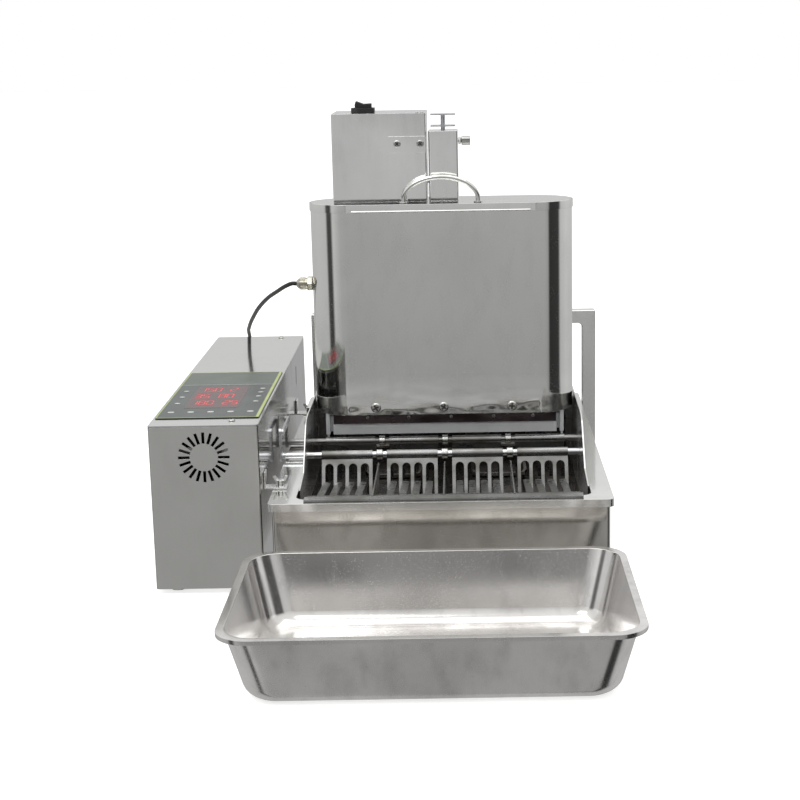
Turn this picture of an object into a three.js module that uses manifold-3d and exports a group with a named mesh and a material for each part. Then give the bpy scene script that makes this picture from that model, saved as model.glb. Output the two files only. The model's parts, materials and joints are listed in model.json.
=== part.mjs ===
// Four-lane donut maker: a control box on the left, an oil tank in a polished housing,
// a batter hopper with its plunger drive above it, and a loose collecting tray in front.
// Millimetres. +X to the operator's right, +Y away from the operator, +Z up.
// While the pieces are made, X = 0 is the middle of the tank and Y = 0 the front of its rim.
// The finished group is moved so that its origin is the middle of its footprint, on the floor.
import * as THREE from 'three';
import { mergeVertices } from 'three/addons/utils/BufferGeometryUtils.js';
import Module from 'manifold-3d';

const wasm = await Module();
wasm.setup();

// ---------------------------------------------------------------- driving dimensions
const gap = 0.3; // left between two pieces that touch
const sheet = 1.5; // stainless sheet of tank, housing, case and covers
const laneCount = 4;
const laneMargin = 6.5; // from the tank's side wall to the first lane
const fingersPerLane = 4;

const tank = {
  width: 333, length: 520, depth: 82, cornerRadius: 12,
  rimHeight: 114, frontFlange: 18, rearFlange: 18, leftFlange: 30, rightFlange: 24,
  lip: 9, rimCornerRadius: 6,
};
const housing = { overhang: 4, bottom: 18, cornerRadius: 5 };
const foot = { radius: 15, topRadius: 12, inset: 30 };

// Heights with "rise" are above the tank's rim, those with "drop" below it.
const sidePlate = {
  thickness: 1.5, tankClearance: 0.3, drop: 44, frontStart: 56, toeLength: 50, toeRise: 7,
  shoulderRise: 51, shoulderY: 150, shoulderRound: 12, topRise: 60, topY: 188, behind: 83, backSlope: 30,
};

const shaft = { radius: 4, rise: 5, clearance: 0.4, caseClearance: 2, insideCase: 8 };
const scoop = { y: 197, length: 62, restTilt: 65 };
const turner = { y: 267, length: 50, restTilt: 90 };
const comb = { slot: 10.2, web: 4.3, sleeveRadius: 5.6, thickness: 1.5, archStart: 11 };
const crank = { length: 30, hubRadius: 7, tipRadius: 5, thickness: 3, pinRadius: 2.5 };
const linkRod = { thickness: 2.4, height: 8, pinClearance: 0.5, armGap: 0.5 };

const chute = {
  fingerClearance: 1, cornerReach: 2, thickness: 2, frontDrop: 2, tipY: 150, tipDrop: 17, solidUpTo: 55,
  hookDepth: 12, dividerBackY: 165, dividerRise: 3, dividerDepth: 12, dividerThickness: 1.5,
};

const hopper = {
  sideClearance: 0.7, depth: 96, frontY: 253, rise: 41, height: 263, wall: 1.5,
};
const dosing = {
  endMargin: 22, depth: 62, height: 28, bore: 17, bandHeight: 12, bandProud: 4,
  bracketWidth: 5, bracketGap: 4, bracketShort: 10, lugInset: 6, lugShort: 12, lugRise: 2, lugDrop: 6,
};
const nozzle = { wall: 2.7, length: 19, clearance: 0.3 };
const plunger = {
  clearance: 0.6, height: 10, aboveNozzle: 6, rodRadius: 4,
  barAboveFloor: 35, barHeight: 12, barDepth: 14, barEnd: 4,
  stroke: 20, liftRodRadius: 5, pinRadius: 3, coverClearance: 1.5, headClearance: 2,
};
const lid = { depth: 27.5, thickness: 1.5, lip: 10, lipGap: 0.4 };
const handle = { span: 92, rise: 34, rodRadius: 3, legRise: 4 };

const column = { centreX: 4, width: 37, depth: 40, height: 86, wall: 3, frontInset: 1 };
const crossPlate = { width: 31, depth: 28, thickness: 1.5, firstLift: 5, secondLift: 19 };
const motorBox = {
  depth: 100, wall: 1.5, columnGap: 2.4, lidGap: 4, leftRoom: 16.8, headroom: 5.6, rodRoom: 4,
};
const motorBracket = { width: 46, height: 20, thickness: 1.5, topDrop: 28 };
const driveArm = { aboveCover: 25.2, size: 7, slotMargin: 2.5 };
const conRod = { length: 40, thickness: 3, eyeRadius: 4.2, pinRadius: 2, pinClearance: 0.4 };
const crankDisc = { radius: 14, thickness: 3, hubRadius: 5, hubLength: 4 };
const gearbox = { thickness: 16, depth: 56, height: 52, frontGap: 1.5 };
const gearMotor = { radius: 21, length: 66 };
const rocker = {
  bezelWidth: 29, bezelDepth: 22, bezelHeight: 6, wall: 2.5, fromLeft: 24, fromFront: 20,
  height: 10, restTilt: 9, clearance: 0.6,
};
const adjuster = { radius: 2.5, clearance: 0.4, knobRadius: 6, knobLength: 11, neck: 4, drop: 13 };

const controlBox = {
  width: 124, length: 557, height: 192, tankGap: 10.5, frontY: 32, feet: 6, footRadius: 9,
  footInset: 22,
};
const vent = { slots: 20, innerRadius: 16, outerRadius: 29, slotWidth: 3.2, belowTop: 37 };
const sideSlot = { y: 462, belowTop: 33, width: 6, height: 26 };
const panel = { startY: 66, length: 258, margin: 2.5, thickness: 0.8 };
const key = {
  count: 5, pitch: 23, width: 8, depth: 6, y: 96, clearance: 0.4, travel: 0.4, stem: 1.6,
};
const fan = {
  hubRadius: 8, ventOverlap: 2, blades: 7, bladeThickness: 1.4, bladeTwist: 0.6, depth: 10,
  behindFront: 10, pinRadius: 2, barGap: 3, barHeight: 12, barThickness: 3,
};
const paddleMotor = { radius: 26, length: 46, couplingRadius: 7, couplingLength: 12, bedDrop: 12 };
const inlet = { width: 30, height: 24, depth: 9, z: 50, fromRight: 30, wall: 3 };

const gland = { nutRadius: 10, nutLength: 7, bodyRadius: 8, bodyLength: 8, tipRadius: 5.5,
  tipLength: 5 };
const hopperGlandAboveFloor = 162;
const controlGland = { fromLeft: 42, z: 132 };
const cordRadius = 2.7;

const heater = {
  radius: 4, aboveFloor: 18, runs: 4, runSpacing: 70, length: 160, behind: 21, bend: 14,
  frontRoom: 12, terminalInset: 20,
};
const terminalBox = { width: 90, depth: 48, height: 36, rearInset: 5 };
const probe = { radius: 2.5, aboveFloor: 30 };

const rearFrame = { tube: 18.5, behind: 40, rise: 130, innerRadius: 6, leftInset: 10,
  rimGap: 1, stayHeight: 12, stayWidth: 24, stayRise: 3, bottom: 30, padHeight: 22 };
const strap = { width: 16, thickness: 2, lap: 16, drop: 20, frontY: 62, behind: 98,
  nutRadius: 5, nutHeight: 7, wing: 9, wingRise: 6, wingTip: 3.5, wingRoot: 2.5, wingThickness: 2 };

const tray = {
  width: 408, depth: 268, height: 74, taper: 18, wall: 1.2, rim: 6, rimHeight: 3.5,
  cornerRadius: 34, baseRadius: 30, behind: 49, centreX: -9.5, floorFillet: 10,
};

// ---------------------------------------------------------------- helpers
const steel = (color, roughness) => ({ color, roughness, metalness: 1 });
const finishes = {
  mirror: steel(0xc9cbca, 0.12),
  satin: steel(0xb9bab8, 0.35),
  alloy: steel(0xd5d7da, 0.3),
  brass: steel(0xb79b62, 0.35),
  black: { color: 0x141414, roughness: 0.5, metalness: 0 },
  film: { color: 0x39443b, roughness: 0.5, metalness: 0 },
  keys: { color: 0xd8ddd2, roughness: 0.5, metalness: 0 },
  motor: { color: 0x3a3d40, roughness: 0.6, metalness: 0.4 },
};

const machine = new THREE.Group();

/** Adds one named piece to the machine. */
function piece(name, geometry, finish) {
  const mesh = new THREE.Mesh(geometry, new THREE.MeshStandardMaterial(finishes[finish]));
  mesh.name = name;
  machine.add(mesh);
  return mesh;
}

/** A closed solid from a three.js geometry. */
function solid(geometry) {
  const bare = geometry.index ? geometry.toNonIndexed() : geometry.clone();
  bare.deleteAttribute('normal');
  bare.deleteAttribute('uv');
  const merged = mergeVertices(bare, 1e-4);
  return new wasm.Manifold(new wasm.Mesh({
    numProp: 3,
    vertProperties: new Float32Array(merged.attributes.position.array),
    triVerts: new Uint32Array(merged.index.array),
  }));
}

/** The geometry of a solid. */
function geometryOf(body) {
  const mesh = body.getMesh();
  const geometry = new THREE.BufferGeometry();
  geometry.setAttribute('position', new THREE.BufferAttribute(mesh.vertProperties, 3));
  geometry.setIndex(new THREE.BufferAttribute(mesh.triVerts, 1));
  geometry.computeVertexNormals();
  return geometry;
}

const joined = (...bodies) => bodies.reduce((whole, body) => whole.add(body));
const cut = (body, ...tools) => tools.reduce((left, tool) => left.subtract(tool), body);

/** A box between two corners. */
function box(x0, x1, y0, y1, z0, z1) {
  const geometry = new THREE.BoxGeometry(x1 - x0, y1 - y0, z1 - z0);
  geometry.translate((x0 + x1) / 2, (y0 + y1) / 2, (z0 + z1) / 2);
  return solid(geometry);
}

/** A round bar along an axis, from a to b, centred on the two other coordinates in order. */
function rod(axis, a, b, [u, v], radius, sides = 16, endRadius = radius) {
  const geometry = new THREE.CylinderGeometry(endRadius, radius, b - a, sides);
  if (axis === 'x') {
    geometry.rotateZ(-Math.PI / 2);
    geometry.translate((a + b) / 2, u, v);
  } else if (axis === 'y') {
    geometry.translate(u, (a + b) / 2, v);
  } else {
    geometry.rotateX(Math.PI / 2);
    geometry.translate(u, v, (a + b) / 2);
  }
  return solid(geometry);
}

/** A rectangle with round corners, as a shape. */
function roundedRectangle(x0, x1, y0, y1, radius) {
  const shape = new THREE.Shape();
  shape.moveTo(x0 + radius, y0);
  shape.lineTo(x1 - radius, y0);
  shape.absarc(x1 - radius, y0 + radius, radius, -Math.PI / 2, 0);
  shape.lineTo(x1, y1 - radius);
  shape.absarc(x1 - radius, y1 - radius, radius, 0, Math.PI / 2);
  shape.lineTo(x0 + radius, y1);
  shape.absarc(x0 + radius, y1 - radius, radius, Math.PI / 2, Math.PI);
  shape.lineTo(x0, y0 + radius);
  shape.absarc(x0 + radius, y0 + radius, radius, Math.PI, Math.PI * 1.5);
  return shape;
}

/** A shape in XY raised from z0 to z1. */
function raised(shape, z0, z1, curveSegments = 8) {
  const geometry = new THREE.ExtrudeGeometry(shape, {
    depth: z1 - z0, bevelEnabled: false, curveSegments,
  });
  geometry.translate(0, 0, z0);
  return solid(geometry);
}

/** A slab with round upright corners. */
const slab = (x0, x1, y0, y1, z0, z1, radius, curveSegments = 3) => raised(
  roundedRectangle(x0, x1, y0, y1, radius), z0, z1, curveSegments);

/** A shape drawn in (Y, Z), made thick along X from x0 to x1. */
function upright(shape, x0, x1, curveSegments = 8) {
  const geometry = new THREE.ExtrudeGeometry(shape, {
    depth: x1 - x0, bevelEnabled: false, curveSegments,
  });
  geometry.applyMatrix4(new THREE.Matrix4().makeBasis(
    new THREE.Vector3(0, 1, 0), new THREE.Vector3(0, 0, 1), new THREE.Vector3(1, 0, 0)));
  geometry.translate(x0, 0, 0);
  return solid(geometry);
}

/** A closed shape through points. */
const polygon = (points) => new THREE.Shape(points.map(([u, v]) => new THREE.Vector2(u, v)));

/** A round section swept along a curve. */
function tube(curve, radius, steps, sides = 10) {
  const section = new THREE.Shape();
  for (let side = 0; side < sides; side += 1) {
    const angle = (side / sides) * Math.PI * 2;
    const point = [radius * Math.cos(angle), radius * Math.sin(angle)];
    if (side === 0) section.moveTo(...point);
    else section.lineTo(...point);
  }
  return new THREE.ExtrudeGeometry(section, { steps, bevelEnabled: false, extrudePath: curve });
}

/** Straight runs through points, with round bends of one radius. */
function bentPath(points, radius) {
  const path = new THREE.CurvePath();
  let from = points[0];
  for (let i = 1; i < points.length - 1; i += 1) {
    const corner = points[i];
    const towards = corner.clone().sub(points[i - 1]).normalize();
    const onwards = points[i + 1].clone().sub(corner).normalize();
    const start = corner.clone().addScaledVector(towards, -radius);
    const end = corner.clone().addScaledVector(onwards, radius);
    path.add(new THREE.LineCurve3(from, start));
    path.add(new THREE.QuadraticBezierCurve3(start, corner, end));
    from = end;
  }
  path.add(new THREE.LineCurve3(from, points[points.length - 1]));
  return path;
}

/** Turns a solid about a line along X through (y, z), by degrees. */
function turnedAboutX(body, y, z, degrees) {
  const geometry = geometryOf(body);
  geometry.translate(0, -y, -z);
  geometry.rotateX(THREE.MathUtils.degToRad(degrees));
  geometry.translate(0, y, z);
  return solid(geometry);
}

const lanePitch = (tank.width - 2 * laneMargin) / laneCount;
const lanes = Array.from({ length: laneCount }, (_, i) => (i - (laneCount - 1) / 2) * lanePitch);

// ---------------------------------------------------------------- places worked out
const tankHalf = tank.width / 2;
const tankFront = tank.frontFlange;
const tankBack = tankFront + tank.length;
const rim = {
  left: -tankHalf - tank.leftFlange,
  right: tankHalf + tank.rightFlange,
  back: tankBack + tank.rearFlange,
  top: tank.rimHeight,
};
const body = {
  left: rim.left + housing.overhang,
  right: rim.right - housing.overhang,
  front: housing.overhang,
  back: rim.back - housing.overhang,
};
const plateOuter = tankHalf - sidePlate.tankClearance;
const plateInner = plateOuter - sidePlate.thickness;
const tankFloor = rim.top - tank.depth;
const shaftZ = rim.top + shaft.rise;
const hopperHalf = plateInner - hopper.sideClearance;
const hopperBottom = rim.top + hopper.rise;
const hopperY = hopper.frontY + hopper.depth / 2;
const hopperTop = hopperBottom + hopper.height;
const hopperStraight = hopperHalf - hopper.depth / 2;
const coverBottom = hopperTop + gap;
const coverTop = coverBottom + lid.thickness;
const caseRight = rim.left - controlBox.tankGap;
const caseLeft = caseRight - controlBox.width;
const caseBack = controlBox.frontY + controlBox.length;
const caseTop = controlBox.feet + controlBox.height;
const caseMiddle = (caseLeft + caseRight) / 2;
const combWidth = comb.slot * fingersPerLane + comb.web * (fingersPerLane + 1);
const combPitch = comb.slot + comb.web;
const ventZ = caseTop - vent.belowTop;
const fanRadius = vent.outerRadius - fan.ventOverlap;

// ---------------------------------------------------------------- tank and housing
function oilTank() {
  const cap = slab(rim.left, rim.right, 0, rim.back, rim.top - tank.lip, rim.top,
    tank.rimCornerRadius);
  const underCap = slab(rim.left + sheet, rim.right - sheet, sheet, rim.back - sheet,
    rim.top - tank.lip - 1, rim.top - sheet, tank.rimCornerRadius - sheet);
  const basin = slab(-tankHalf - sheet, tankHalf + sheet, tankFront - sheet, tankBack + sheet,
    tankFloor - sheet, rim.top - sheet / 2, tank.cornerRadius + sheet);
  const hollow = slab(-tankHalf, tankHalf, tankFront, tankBack, tankFloor, rim.top + 1,
    tank.cornerRadius);
  return cut(joined(cut(cap, underCap), basin), hollow);
}
piece('oil_tank', geometryOf(oilTank()), 'mirror');

function baseHousing() {
  const top = rim.top - sheet - gap;
  const shell = slab(body.left, body.right, body.front, body.back, housing.bottom, top,
    housing.cornerRadius);
  const hollow = slab(body.left + sheet, body.right - sheet, body.front + sheet,
    body.back - sheet, housing.bottom + sheet, top + 1, housing.cornerRadius - sheet);
  return cut(shell, hollow);
}
piece('base_housing', geometryOf(baseHousing()), 'mirror');

function rubberFoot(x, y) {
  return rod('z', 0, housing.bottom - gap, [x, y], foot.radius, 24, foot.topRadius);
}
[['front_left', body.left + foot.inset, body.front + foot.inset],
  ['front_right', body.right - foot.inset, body.front + foot.inset],
  ['rear_left', body.left + foot.inset, body.back - foot.inset],
  ['rear_right', body.right - foot.inset, body.back - foot.inset],
].forEach(([where, x, y]) => piece(`foot_${where}`, geometryOf(rubberFoot(x, y)), 'black'));

const heaterTop = rim.top + terminalBox.height - sheet;
const terminalY = tankBack - heater.behind;
function heaterElement() {
  const half = ((heater.runs - 1) / 2) * heater.runSpacing;
  const terminalX = terminalBox.width / 2 - heater.terminalInset;
  const z = tankFloor + heater.aboveFloor;
  const runBack = terminalY - 2.5 * heater.bend;
  const runFront = terminalY - heater.length - heater.frontRoom;
  const at = (x, y, height = z) => new THREE.Vector3(x, y, height);
  const points = [at(-terminalX, terminalY, heaterTop), at(-terminalX, terminalY), at(-half, terminalY)];
  for (let run = 0; run < heater.runs; run += 1) {
    const x = -half + run * heater.runSpacing;
    const ends = run % 2 === 0 ? [runBack, runFront] : [runFront, runBack];
    if (run > 0) points.push(at(x, ends[0]));
    if (run < heater.runs - 1) points.push(at(x, ends[1]));
  }
  points.push(at(half, terminalY), at(terminalX, terminalY), at(terminalX, terminalY, heaterTop));
  return tube(bentPath(points, heater.bend), heater.radius, 84, 6);
}
piece('heater_element', geometryOf(solid(heaterElement())), 'satin');

const terminalY1 = rim.back - terminalBox.rearInset;
const terminalY0 = terminalY1 - terminalBox.depth;
function heaterTerminalBox() {
  const half = terminalBox.width / 2;
  const bottom = rim.top + gap;
  const shell = slab(-half, half, terminalY0, terminalY1, bottom, bottom + terminalBox.height, 4);
  const hollow = box(-half + sheet, half - sheet, terminalY0 + sheet, terminalY1 - sheet,
    bottom - 1, bottom + terminalBox.height - sheet);
  return cut(shell, hollow);
}
piece('heater_terminal_box', geometryOf(heaterTerminalBox()), 'satin');
piece('temperature_probe', geometryOf(rod('z',
  tankFloor + probe.aboveFloor, heaterTop, [0, terminalY], probe.radius, 12)), 'satin');

// ---------------------------------------------------------------- side plates
function sidePlateShape() {
  const shape = new THREE.Shape();
  const bottom = rim.top - sidePlate.drop;
  const top = rim.top + sidePlate.topRise;
  const backY = tankBack - sidePlate.behind - sidePlate.backSlope;
  shape.moveTo(sidePlate.frontStart, bottom);
  shape.lineTo(sidePlate.frontStart, rim.top);
  const toeY = sidePlate.frontStart + sidePlate.toeLength;
  shape.lineTo(toeY, rim.top + sidePlate.toeRise);
  shape.lineTo(sidePlate.shoulderY, rim.top + sidePlate.shoulderRise);
  shape.quadraticCurveTo(sidePlate.shoulderY + sidePlate.shoulderRound, top, sidePlate.topY, top);
  shape.lineTo(backY, top);
  shape.lineTo(backY + sidePlate.backSlope, rim.top);
  shape.lineTo(backY + sidePlate.backSlope, bottom);
  return shape;
}
function sidePlateBody(x0) {
  const x1 = x0 + sidePlate.thickness;
  const plate = upright(sidePlateShape(), x0, x1, 6);
  const bearing = (y) => rod('x', x0 - 1, x1 + 1, [y, shaftZ], shaft.radius + shaft.clearance);
  return cut(plate, bearing(scoop.y), bearing(turner.y));
}
piece('side_plate_left', geometryOf(sidePlateBody(-plateOuter)), 'satin');
piece('side_plate_right', geometryOf(sidePlateBody(plateInner)), 'satin');

// ---------------------------------------------------------------- discharge chute
function dischargeChute() {
  const halfWidth = tankHalf - tank.cornerRadius + chute.cornerReach;
  const front = tankFront + 1;
  const frontZ = rim.top - chute.frontDrop;
  const slope = (chute.tipDrop - chute.frontDrop) / (chute.tipY - front);
  const onSlope = (y) => frontZ - (y - front) * slope;
  const strip = (y0, y1) => polygon([[y0, onSlope(y0) - chute.thickness],
    [y1, onSlope(y1) - chute.thickness], [y1, onSlope(y1)], [y0, onSlope(y0)]]);
  const hookTop = rim.top + gap + chute.thickness;
  const hook = upright(polygon([[front - chute.hookDepth, rim.top + gap], [front, rim.top + gap],
    [front, frontZ - chute.thickness], [front + chute.thickness, frontZ - chute.thickness],
    [front + chute.thickness, hookTop], [front - chute.hookDepth, hookTop]]), -halfWidth, halfWidth);
  const parts = [hook, upright(strip(front, chute.solidUpTo), -halfWidth, halfWidth)];
  lanes.forEach((laneX) => {
    for (let i = 0; i < fingersPerLane; i += 1) {
      const x = laneX + (i - (fingersPerLane - 1) / 2) * combPitch;
      const tipRadius = comb.slot / 2 - chute.fingerClearance;
      parts.push(upright(strip(chute.solidUpTo - 1, chute.tipY - tipRadius),
        x - tipRadius, x + tipRadius));
      const tipZ = onSlope(chute.tipY - tipRadius);
      parts.push(rod('z', tipZ - chute.thickness - 0.2, tipZ - 0.1,
        [x, chute.tipY - tipRadius - 0.05], tipRadius, 12));
    }
  });
  for (let i = 1; i < laneCount; i += 1) {
    const x = lanes[0] + (i - 0.5) * lanePitch;
    const half = chute.dividerThickness / 2;
    parts.push(upright(polygon([[front, onSlope(front) - 1],
      [chute.solidUpTo, onSlope(chute.solidUpTo) - chute.dividerDepth],
      [chute.dividerBackY, onSlope(chute.dividerBackY) - chute.dividerDepth],
      [chute.dividerBackY, rim.top + chute.dividerRise],
      [front + 1, rim.top + chute.dividerRise]]), x - half, x + half));
  }
  return joined(...parts);
}
piece('discharge_chute', geometryOf(dischargeChute()), 'satin');

// ---------------------------------------------------------------- scoop and turner
const armX0 = rim.left - linkRod.armGap - linkRod.thickness - gap - crank.thickness;
const armX1 = armX0 + crank.thickness;
const linkX0 = armX1 + gap;
const linkX1 = linkX0 + linkRod.thickness;
const crankZ = shaftZ + crank.length;

function combBody(laneX, y, length, tilt) {
  const half = combWidth / 2;
  const sleeve = cut(
    rod('x', laneX - half, laneX + half, [y, shaftZ], comb.sleeveRadius, 12),
    rod('x', laneX - half - 1, laneX + half + 1, [y, shaftZ], shaft.radius + gap, 12));
  const plateTop = shaftZ - shaft.radius - gap - 0.3;
  let plate = box(laneX - half, laneX + half, y - comb.thickness / 2, y + comb.thickness / 2,
    shaftZ - length, plateTop);
  for (let i = 0; i < fingersPerLane; i += 1) {
    const x = laneX + (i - (fingersPerLane - 1) / 2) * combPitch;
    const arch = shaftZ - comb.archStart - comb.slot / 2;
    plate = cut(plate,
      box(x - comb.slot / 2, x + comb.slot / 2, y - 5, y + 5, shaftZ - length - 1, arch),
      rod('y', y - 5, y + 5, [x, arch], comb.slot / 2, 12));
  }
  return turnedAboutX(joined(sleeve, plate), y, shaftZ, tilt - 90);
}

function crankArm(y) {
  const arm = new THREE.Shape();
  arm.absarc(y, shaftZ, crank.hubRadius, Math.PI, Math.PI * 2);
  arm.lineTo(y + crank.tipRadius, crankZ);
  arm.absarc(y, crankZ, crank.tipRadius, 0, Math.PI);
  return joined(upright(arm, armX0, armX1, 10),
    rod('x', armX1 - 0.5, linkX1 + gap, [y, crankZ], crank.pinRadius, 16));
}

/** A shaft across the tank with its crank arm: its left end is at x0. */
function paddleShaft(y, x0) {
  return joined(rod('x', x0, plateOuter - gap, [y, shaftZ], shaft.radius), crankArm(y));
}
const scoopShaftLeft = armX0;
const turnerShaftLeft = caseRight - sheet - shaft.insideCase;
piece('scoop_shaft', geometryOf(paddleShaft(scoop.y, scoopShaftLeft)), 'alloy');
piece('turner_shaft', geometryOf(paddleShaft(turner.y, turnerShaftLeft)), 'alloy');
lanes.forEach((laneX, i) => {
  piece(`scoop_comb_${i + 1}`,
    geometryOf(combBody(laneX, scoop.y, scoop.length, scoop.restTilt)), 'satin');
  piece(`turner_comb_${i + 1}`,
    geometryOf(combBody(laneX, turner.y, turner.length, turner.restTilt)), 'satin');
});

function linkRodBody() {
  const outline = new THREE.Shape();
  const half = linkRod.height / 2;
  outline.absarc(scoop.y, crankZ, half, Math.PI / 2, Math.PI * 1.5);
  outline.absarc(turner.y, crankZ, half, -Math.PI / 2, Math.PI / 2);
  const eye = (y) => rod('x', linkX0 - 1, linkX1 + 1, [y, crankZ],
    crank.pinRadius + linkRod.pinClearance, 16);
  return cut(upright(outline, linkX0, linkX1, 10), eye(scoop.y), eye(turner.y));
}
piece('link_rod', geometryOf(linkRodBody()), 'alloy');

// ---------------------------------------------------------------- hopper and dosing
function obround(inset) {
  const r = hopper.depth / 2 - inset;
  const outline = new THREE.Shape();
  outline.absarc(hopperStraight, hopperY, r, -Math.PI / 2, Math.PI / 2);
  outline.absarc(-hopperStraight, hopperY, r, Math.PI / 2, Math.PI * 1.5);
  return outline;
}
const liftX = column.centreX;
function hopperBody() {
  const shell = raised(obround(0), hopperBottom, hopperTop, 10);
  const hollow = raised(obround(hopper.wall), hopperBottom + hopper.wall, hopperTop + 1, 10);
  const outlets = lanes.map((x) => rod('z', hopperBottom - 1, hopperBottom + hopper.wall + 1,
    [x, hopperY], dosing.bore));
  return cut(shell, hollow, ...outlets);
}
piece('hopper', geometryOf(hopperBody()), 'mirror');

const dosingHalf = lanes[laneCount - 1] + dosing.endMargin;
const dosingTop = hopperBottom - gap;
const dosingBottom = hopperBottom - dosing.height;
function dosingBlock() {
  const y0 = hopperY - dosing.depth / 2;
  const y1 = hopperY + dosing.depth / 2;
  let block = joined(
    box(-dosingHalf, dosingHalf, y0 + dosing.bandProud, y1, dosingBottom, dosingTop),
    box(-dosingHalf, dosingHalf, y0, y0 + dosing.bandProud + 1, dosingBottom,
      dosingBottom + dosing.bandHeight));
  [-1, 1].forEach((side) => {
    const inner = side * dosingHalf;
    const outer = side * (dosingHalf + dosing.bracketGap + dosing.bracketWidth);
    const mid = side * (dosingHalf + dosing.bracketGap);
    block = joined(block,
      box(Math.min(mid, outer), Math.max(mid, outer), y0, y1 - dosing.bracketShort,
        dosingBottom, dosingTop),
      box(Math.min(inner - side, outer), Math.max(inner - side, outer),
        y0 + dosing.bandProud + dosing.lugInset, y1 - dosing.lugShort,
        dosingBottom + dosing.lugRise, dosingTop - dosing.lugDrop));
  });
  const bores = lanes.map((x) => rod('z', dosingBottom - 1, dosingTop + 1, [x, hopperY],
    dosing.bore));
  return cut(block, ...bores);
}
piece('dosing_block', geometryOf(dosingBlock()), 'alloy');

const nozzleOuter = dosing.bore - nozzle.clearance;
lanes.forEach((x, i) => {
  const bottom = dosingBottom - nozzle.length;
  const tubeBody = rod('z', bottom, dosingTop - gap, [x, hopperY], nozzleOuter);
  const hole = rod('z', bottom - 1, dosingTop + 1, [x, hopperY], nozzleOuter - nozzle.wall);
  piece(`nozzle_${i + 1}`, geometryOf(cut(tubeBody, hole)), 'satin');
});

// ---------------------------------------------------------------- covers on the hopper
const lidBack = hopper.frontY + lid.depth;
function coverPart(y0, y1) {
  const whole = raised(obround(0), coverBottom, coverTop, 10);
  return whole.intersect(box(-hopperHalf - 1, hopperHalf + 1, y0, y1, coverBottom - 1, coverTop + 1));
}
function hopperLid() {
  const top = coverPart(hopper.frontY - 1, lidBack);
  const lipY1 = hopper.frontY - lid.lipGap;
  const lipY0 = lipY1 - lid.thickness;
  const lip = box(-hopperStraight, hopperStraight, lipY0, lipY1, coverTop - lid.lip, coverTop);
  const fold = box(-hopperStraight, hopperStraight, lipY0, hopper.frontY + 1, coverBottom, coverTop);
  return joined(top, lip, fold);
}
piece('hopper_lid', geometryOf(hopperLid()), 'mirror');

const handleY = hopper.frontY + lid.depth / 2;
function lidHandle() {
  const half = handle.span / 2;
  const bottom = coverTop + gap;
  const arch = new THREE.CurvePath();
  const points = [];
  for (let i = 0; i <= 20; i += 1) {
    const angle = Math.PI * (1 - i / 20);
    points.push(new THREE.Vector3(half * Math.cos(angle), handleY,
      bottom + handle.legRise + (handle.rise - handle.legRise - handle.rodRadius) * Math.sin(angle)));
  }
  arch.add(new THREE.LineCurve3(new THREE.Vector3(-half, handleY, bottom), points[0]));
  arch.add(new THREE.CatmullRomCurve3(points));
  arch.add(new THREE.LineCurve3(points[20], new THREE.Vector3(half, handleY, bottom)));
  return tube(arch, handle.rodRadius, 24, 8);
}
piece('lid_handle', geometryOf(solid(lidHandle())), 'mirror');

const driveFront = lidBack + gap + motorBox.lidGap;
const columnX0 = column.centreX - column.width / 2;
const columnX1 = column.centreX + column.width / 2;
const columnTop = coverTop + gap + column.height;
const liftY = hopperY;
const boxX1 = columnX0 - motorBox.columnGap;
const boxBottom = coverTop + gap;
function hopperRearCover() {
  const cover = coverPart(lidBack + gap, hopper.frontY + hopper.depth + 1);
  return cut(cover, rod('z', coverBottom - 1, coverTop + 1, [liftX, liftY],
    plunger.liftRodRadius + plunger.coverClearance));
}
piece('hopper_rear_cover', geometryOf(hopperRearCover()), 'mirror');

// ---------------------------------------------------------------- plunger drive
const armInnerX = boxX1 - motorBox.wall - motorBox.rodRoom;
const rodX1 = armInnerX - gap;
const rodX0 = rodX1 - conRod.thickness;
const armZ = coverTop + driveArm.aboveCover;
const crankAxisZ = armZ + conRod.length + plunger.stroke / 2;
const discX1 = rodX0 - 3 * gap;
const discX0 = discX1 - crankDisc.thickness;
const gearboxX1 = discX0 - crankDisc.hubLength;
const gearboxX0 = gearboxX1 - gearbox.thickness;
const boxX0 = gearboxX0 - gearMotor.length - motorBox.leftRoom - motorBox.wall;
const boxTop = crankAxisZ + gearbox.height / 2 + motorBox.headroom + motorBox.wall;
function plungerRack() {
  const plungerBottom = dosingBottom - nozzle.length + plunger.aboveNozzle;
  const radius = nozzleOuter - nozzle.wall - plunger.clearance;
  const barZ = hopperBottom + plunger.barAboveFloor;
  const parts = lanes.flatMap((x) => [
    rod('z', plungerBottom, plungerBottom + plunger.height, [x, hopperY], radius),
    rod('z', plungerBottom + plunger.height - 1, barZ + 1, [x, hopperY], plunger.rodRadius, 16),
  ]);
  const reach = lanes[laneCount - 1] + plunger.rodRadius + plunger.barEnd;
  parts.push(box(-reach, reach, hopperY - plunger.barDepth / 2, hopperY + plunger.barDepth / 2,
    barZ, barZ + plunger.barHeight));
  const crossZ = columnTop + crossPlate.firstLift;
  const crossZ2 = columnTop + crossPlate.secondLift;
  const liftTop = columnTop - column.wall - plunger.stroke - plunger.headClearance;
  parts.push(rod('z', barZ + 2, liftTop, [liftX, liftY], plunger.liftRodRadius, 16));
  parts.push(rod('z', liftTop - 1, crossZ2 + 0.5, [liftX, liftY], plunger.pinRadius, 16));
  [crossZ, crossZ2].forEach((z) => parts.push(box(
    liftX - crossPlate.width / 2, liftX + crossPlate.width / 2,
    liftY - crossPlate.depth / 2, liftY + crossPlate.depth / 2, z, z + crossPlate.thickness)));
  const half = driveArm.size / 2;
  parts.push(box(armInnerX, liftX, liftY - half, liftY + half, armZ - half, armZ + half));
  parts.push(rod('x', rodX0 - gap, armInnerX + 1, [liftY, armZ], conRod.pinRadius, 16));
  return joined(...parts);
}
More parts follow.
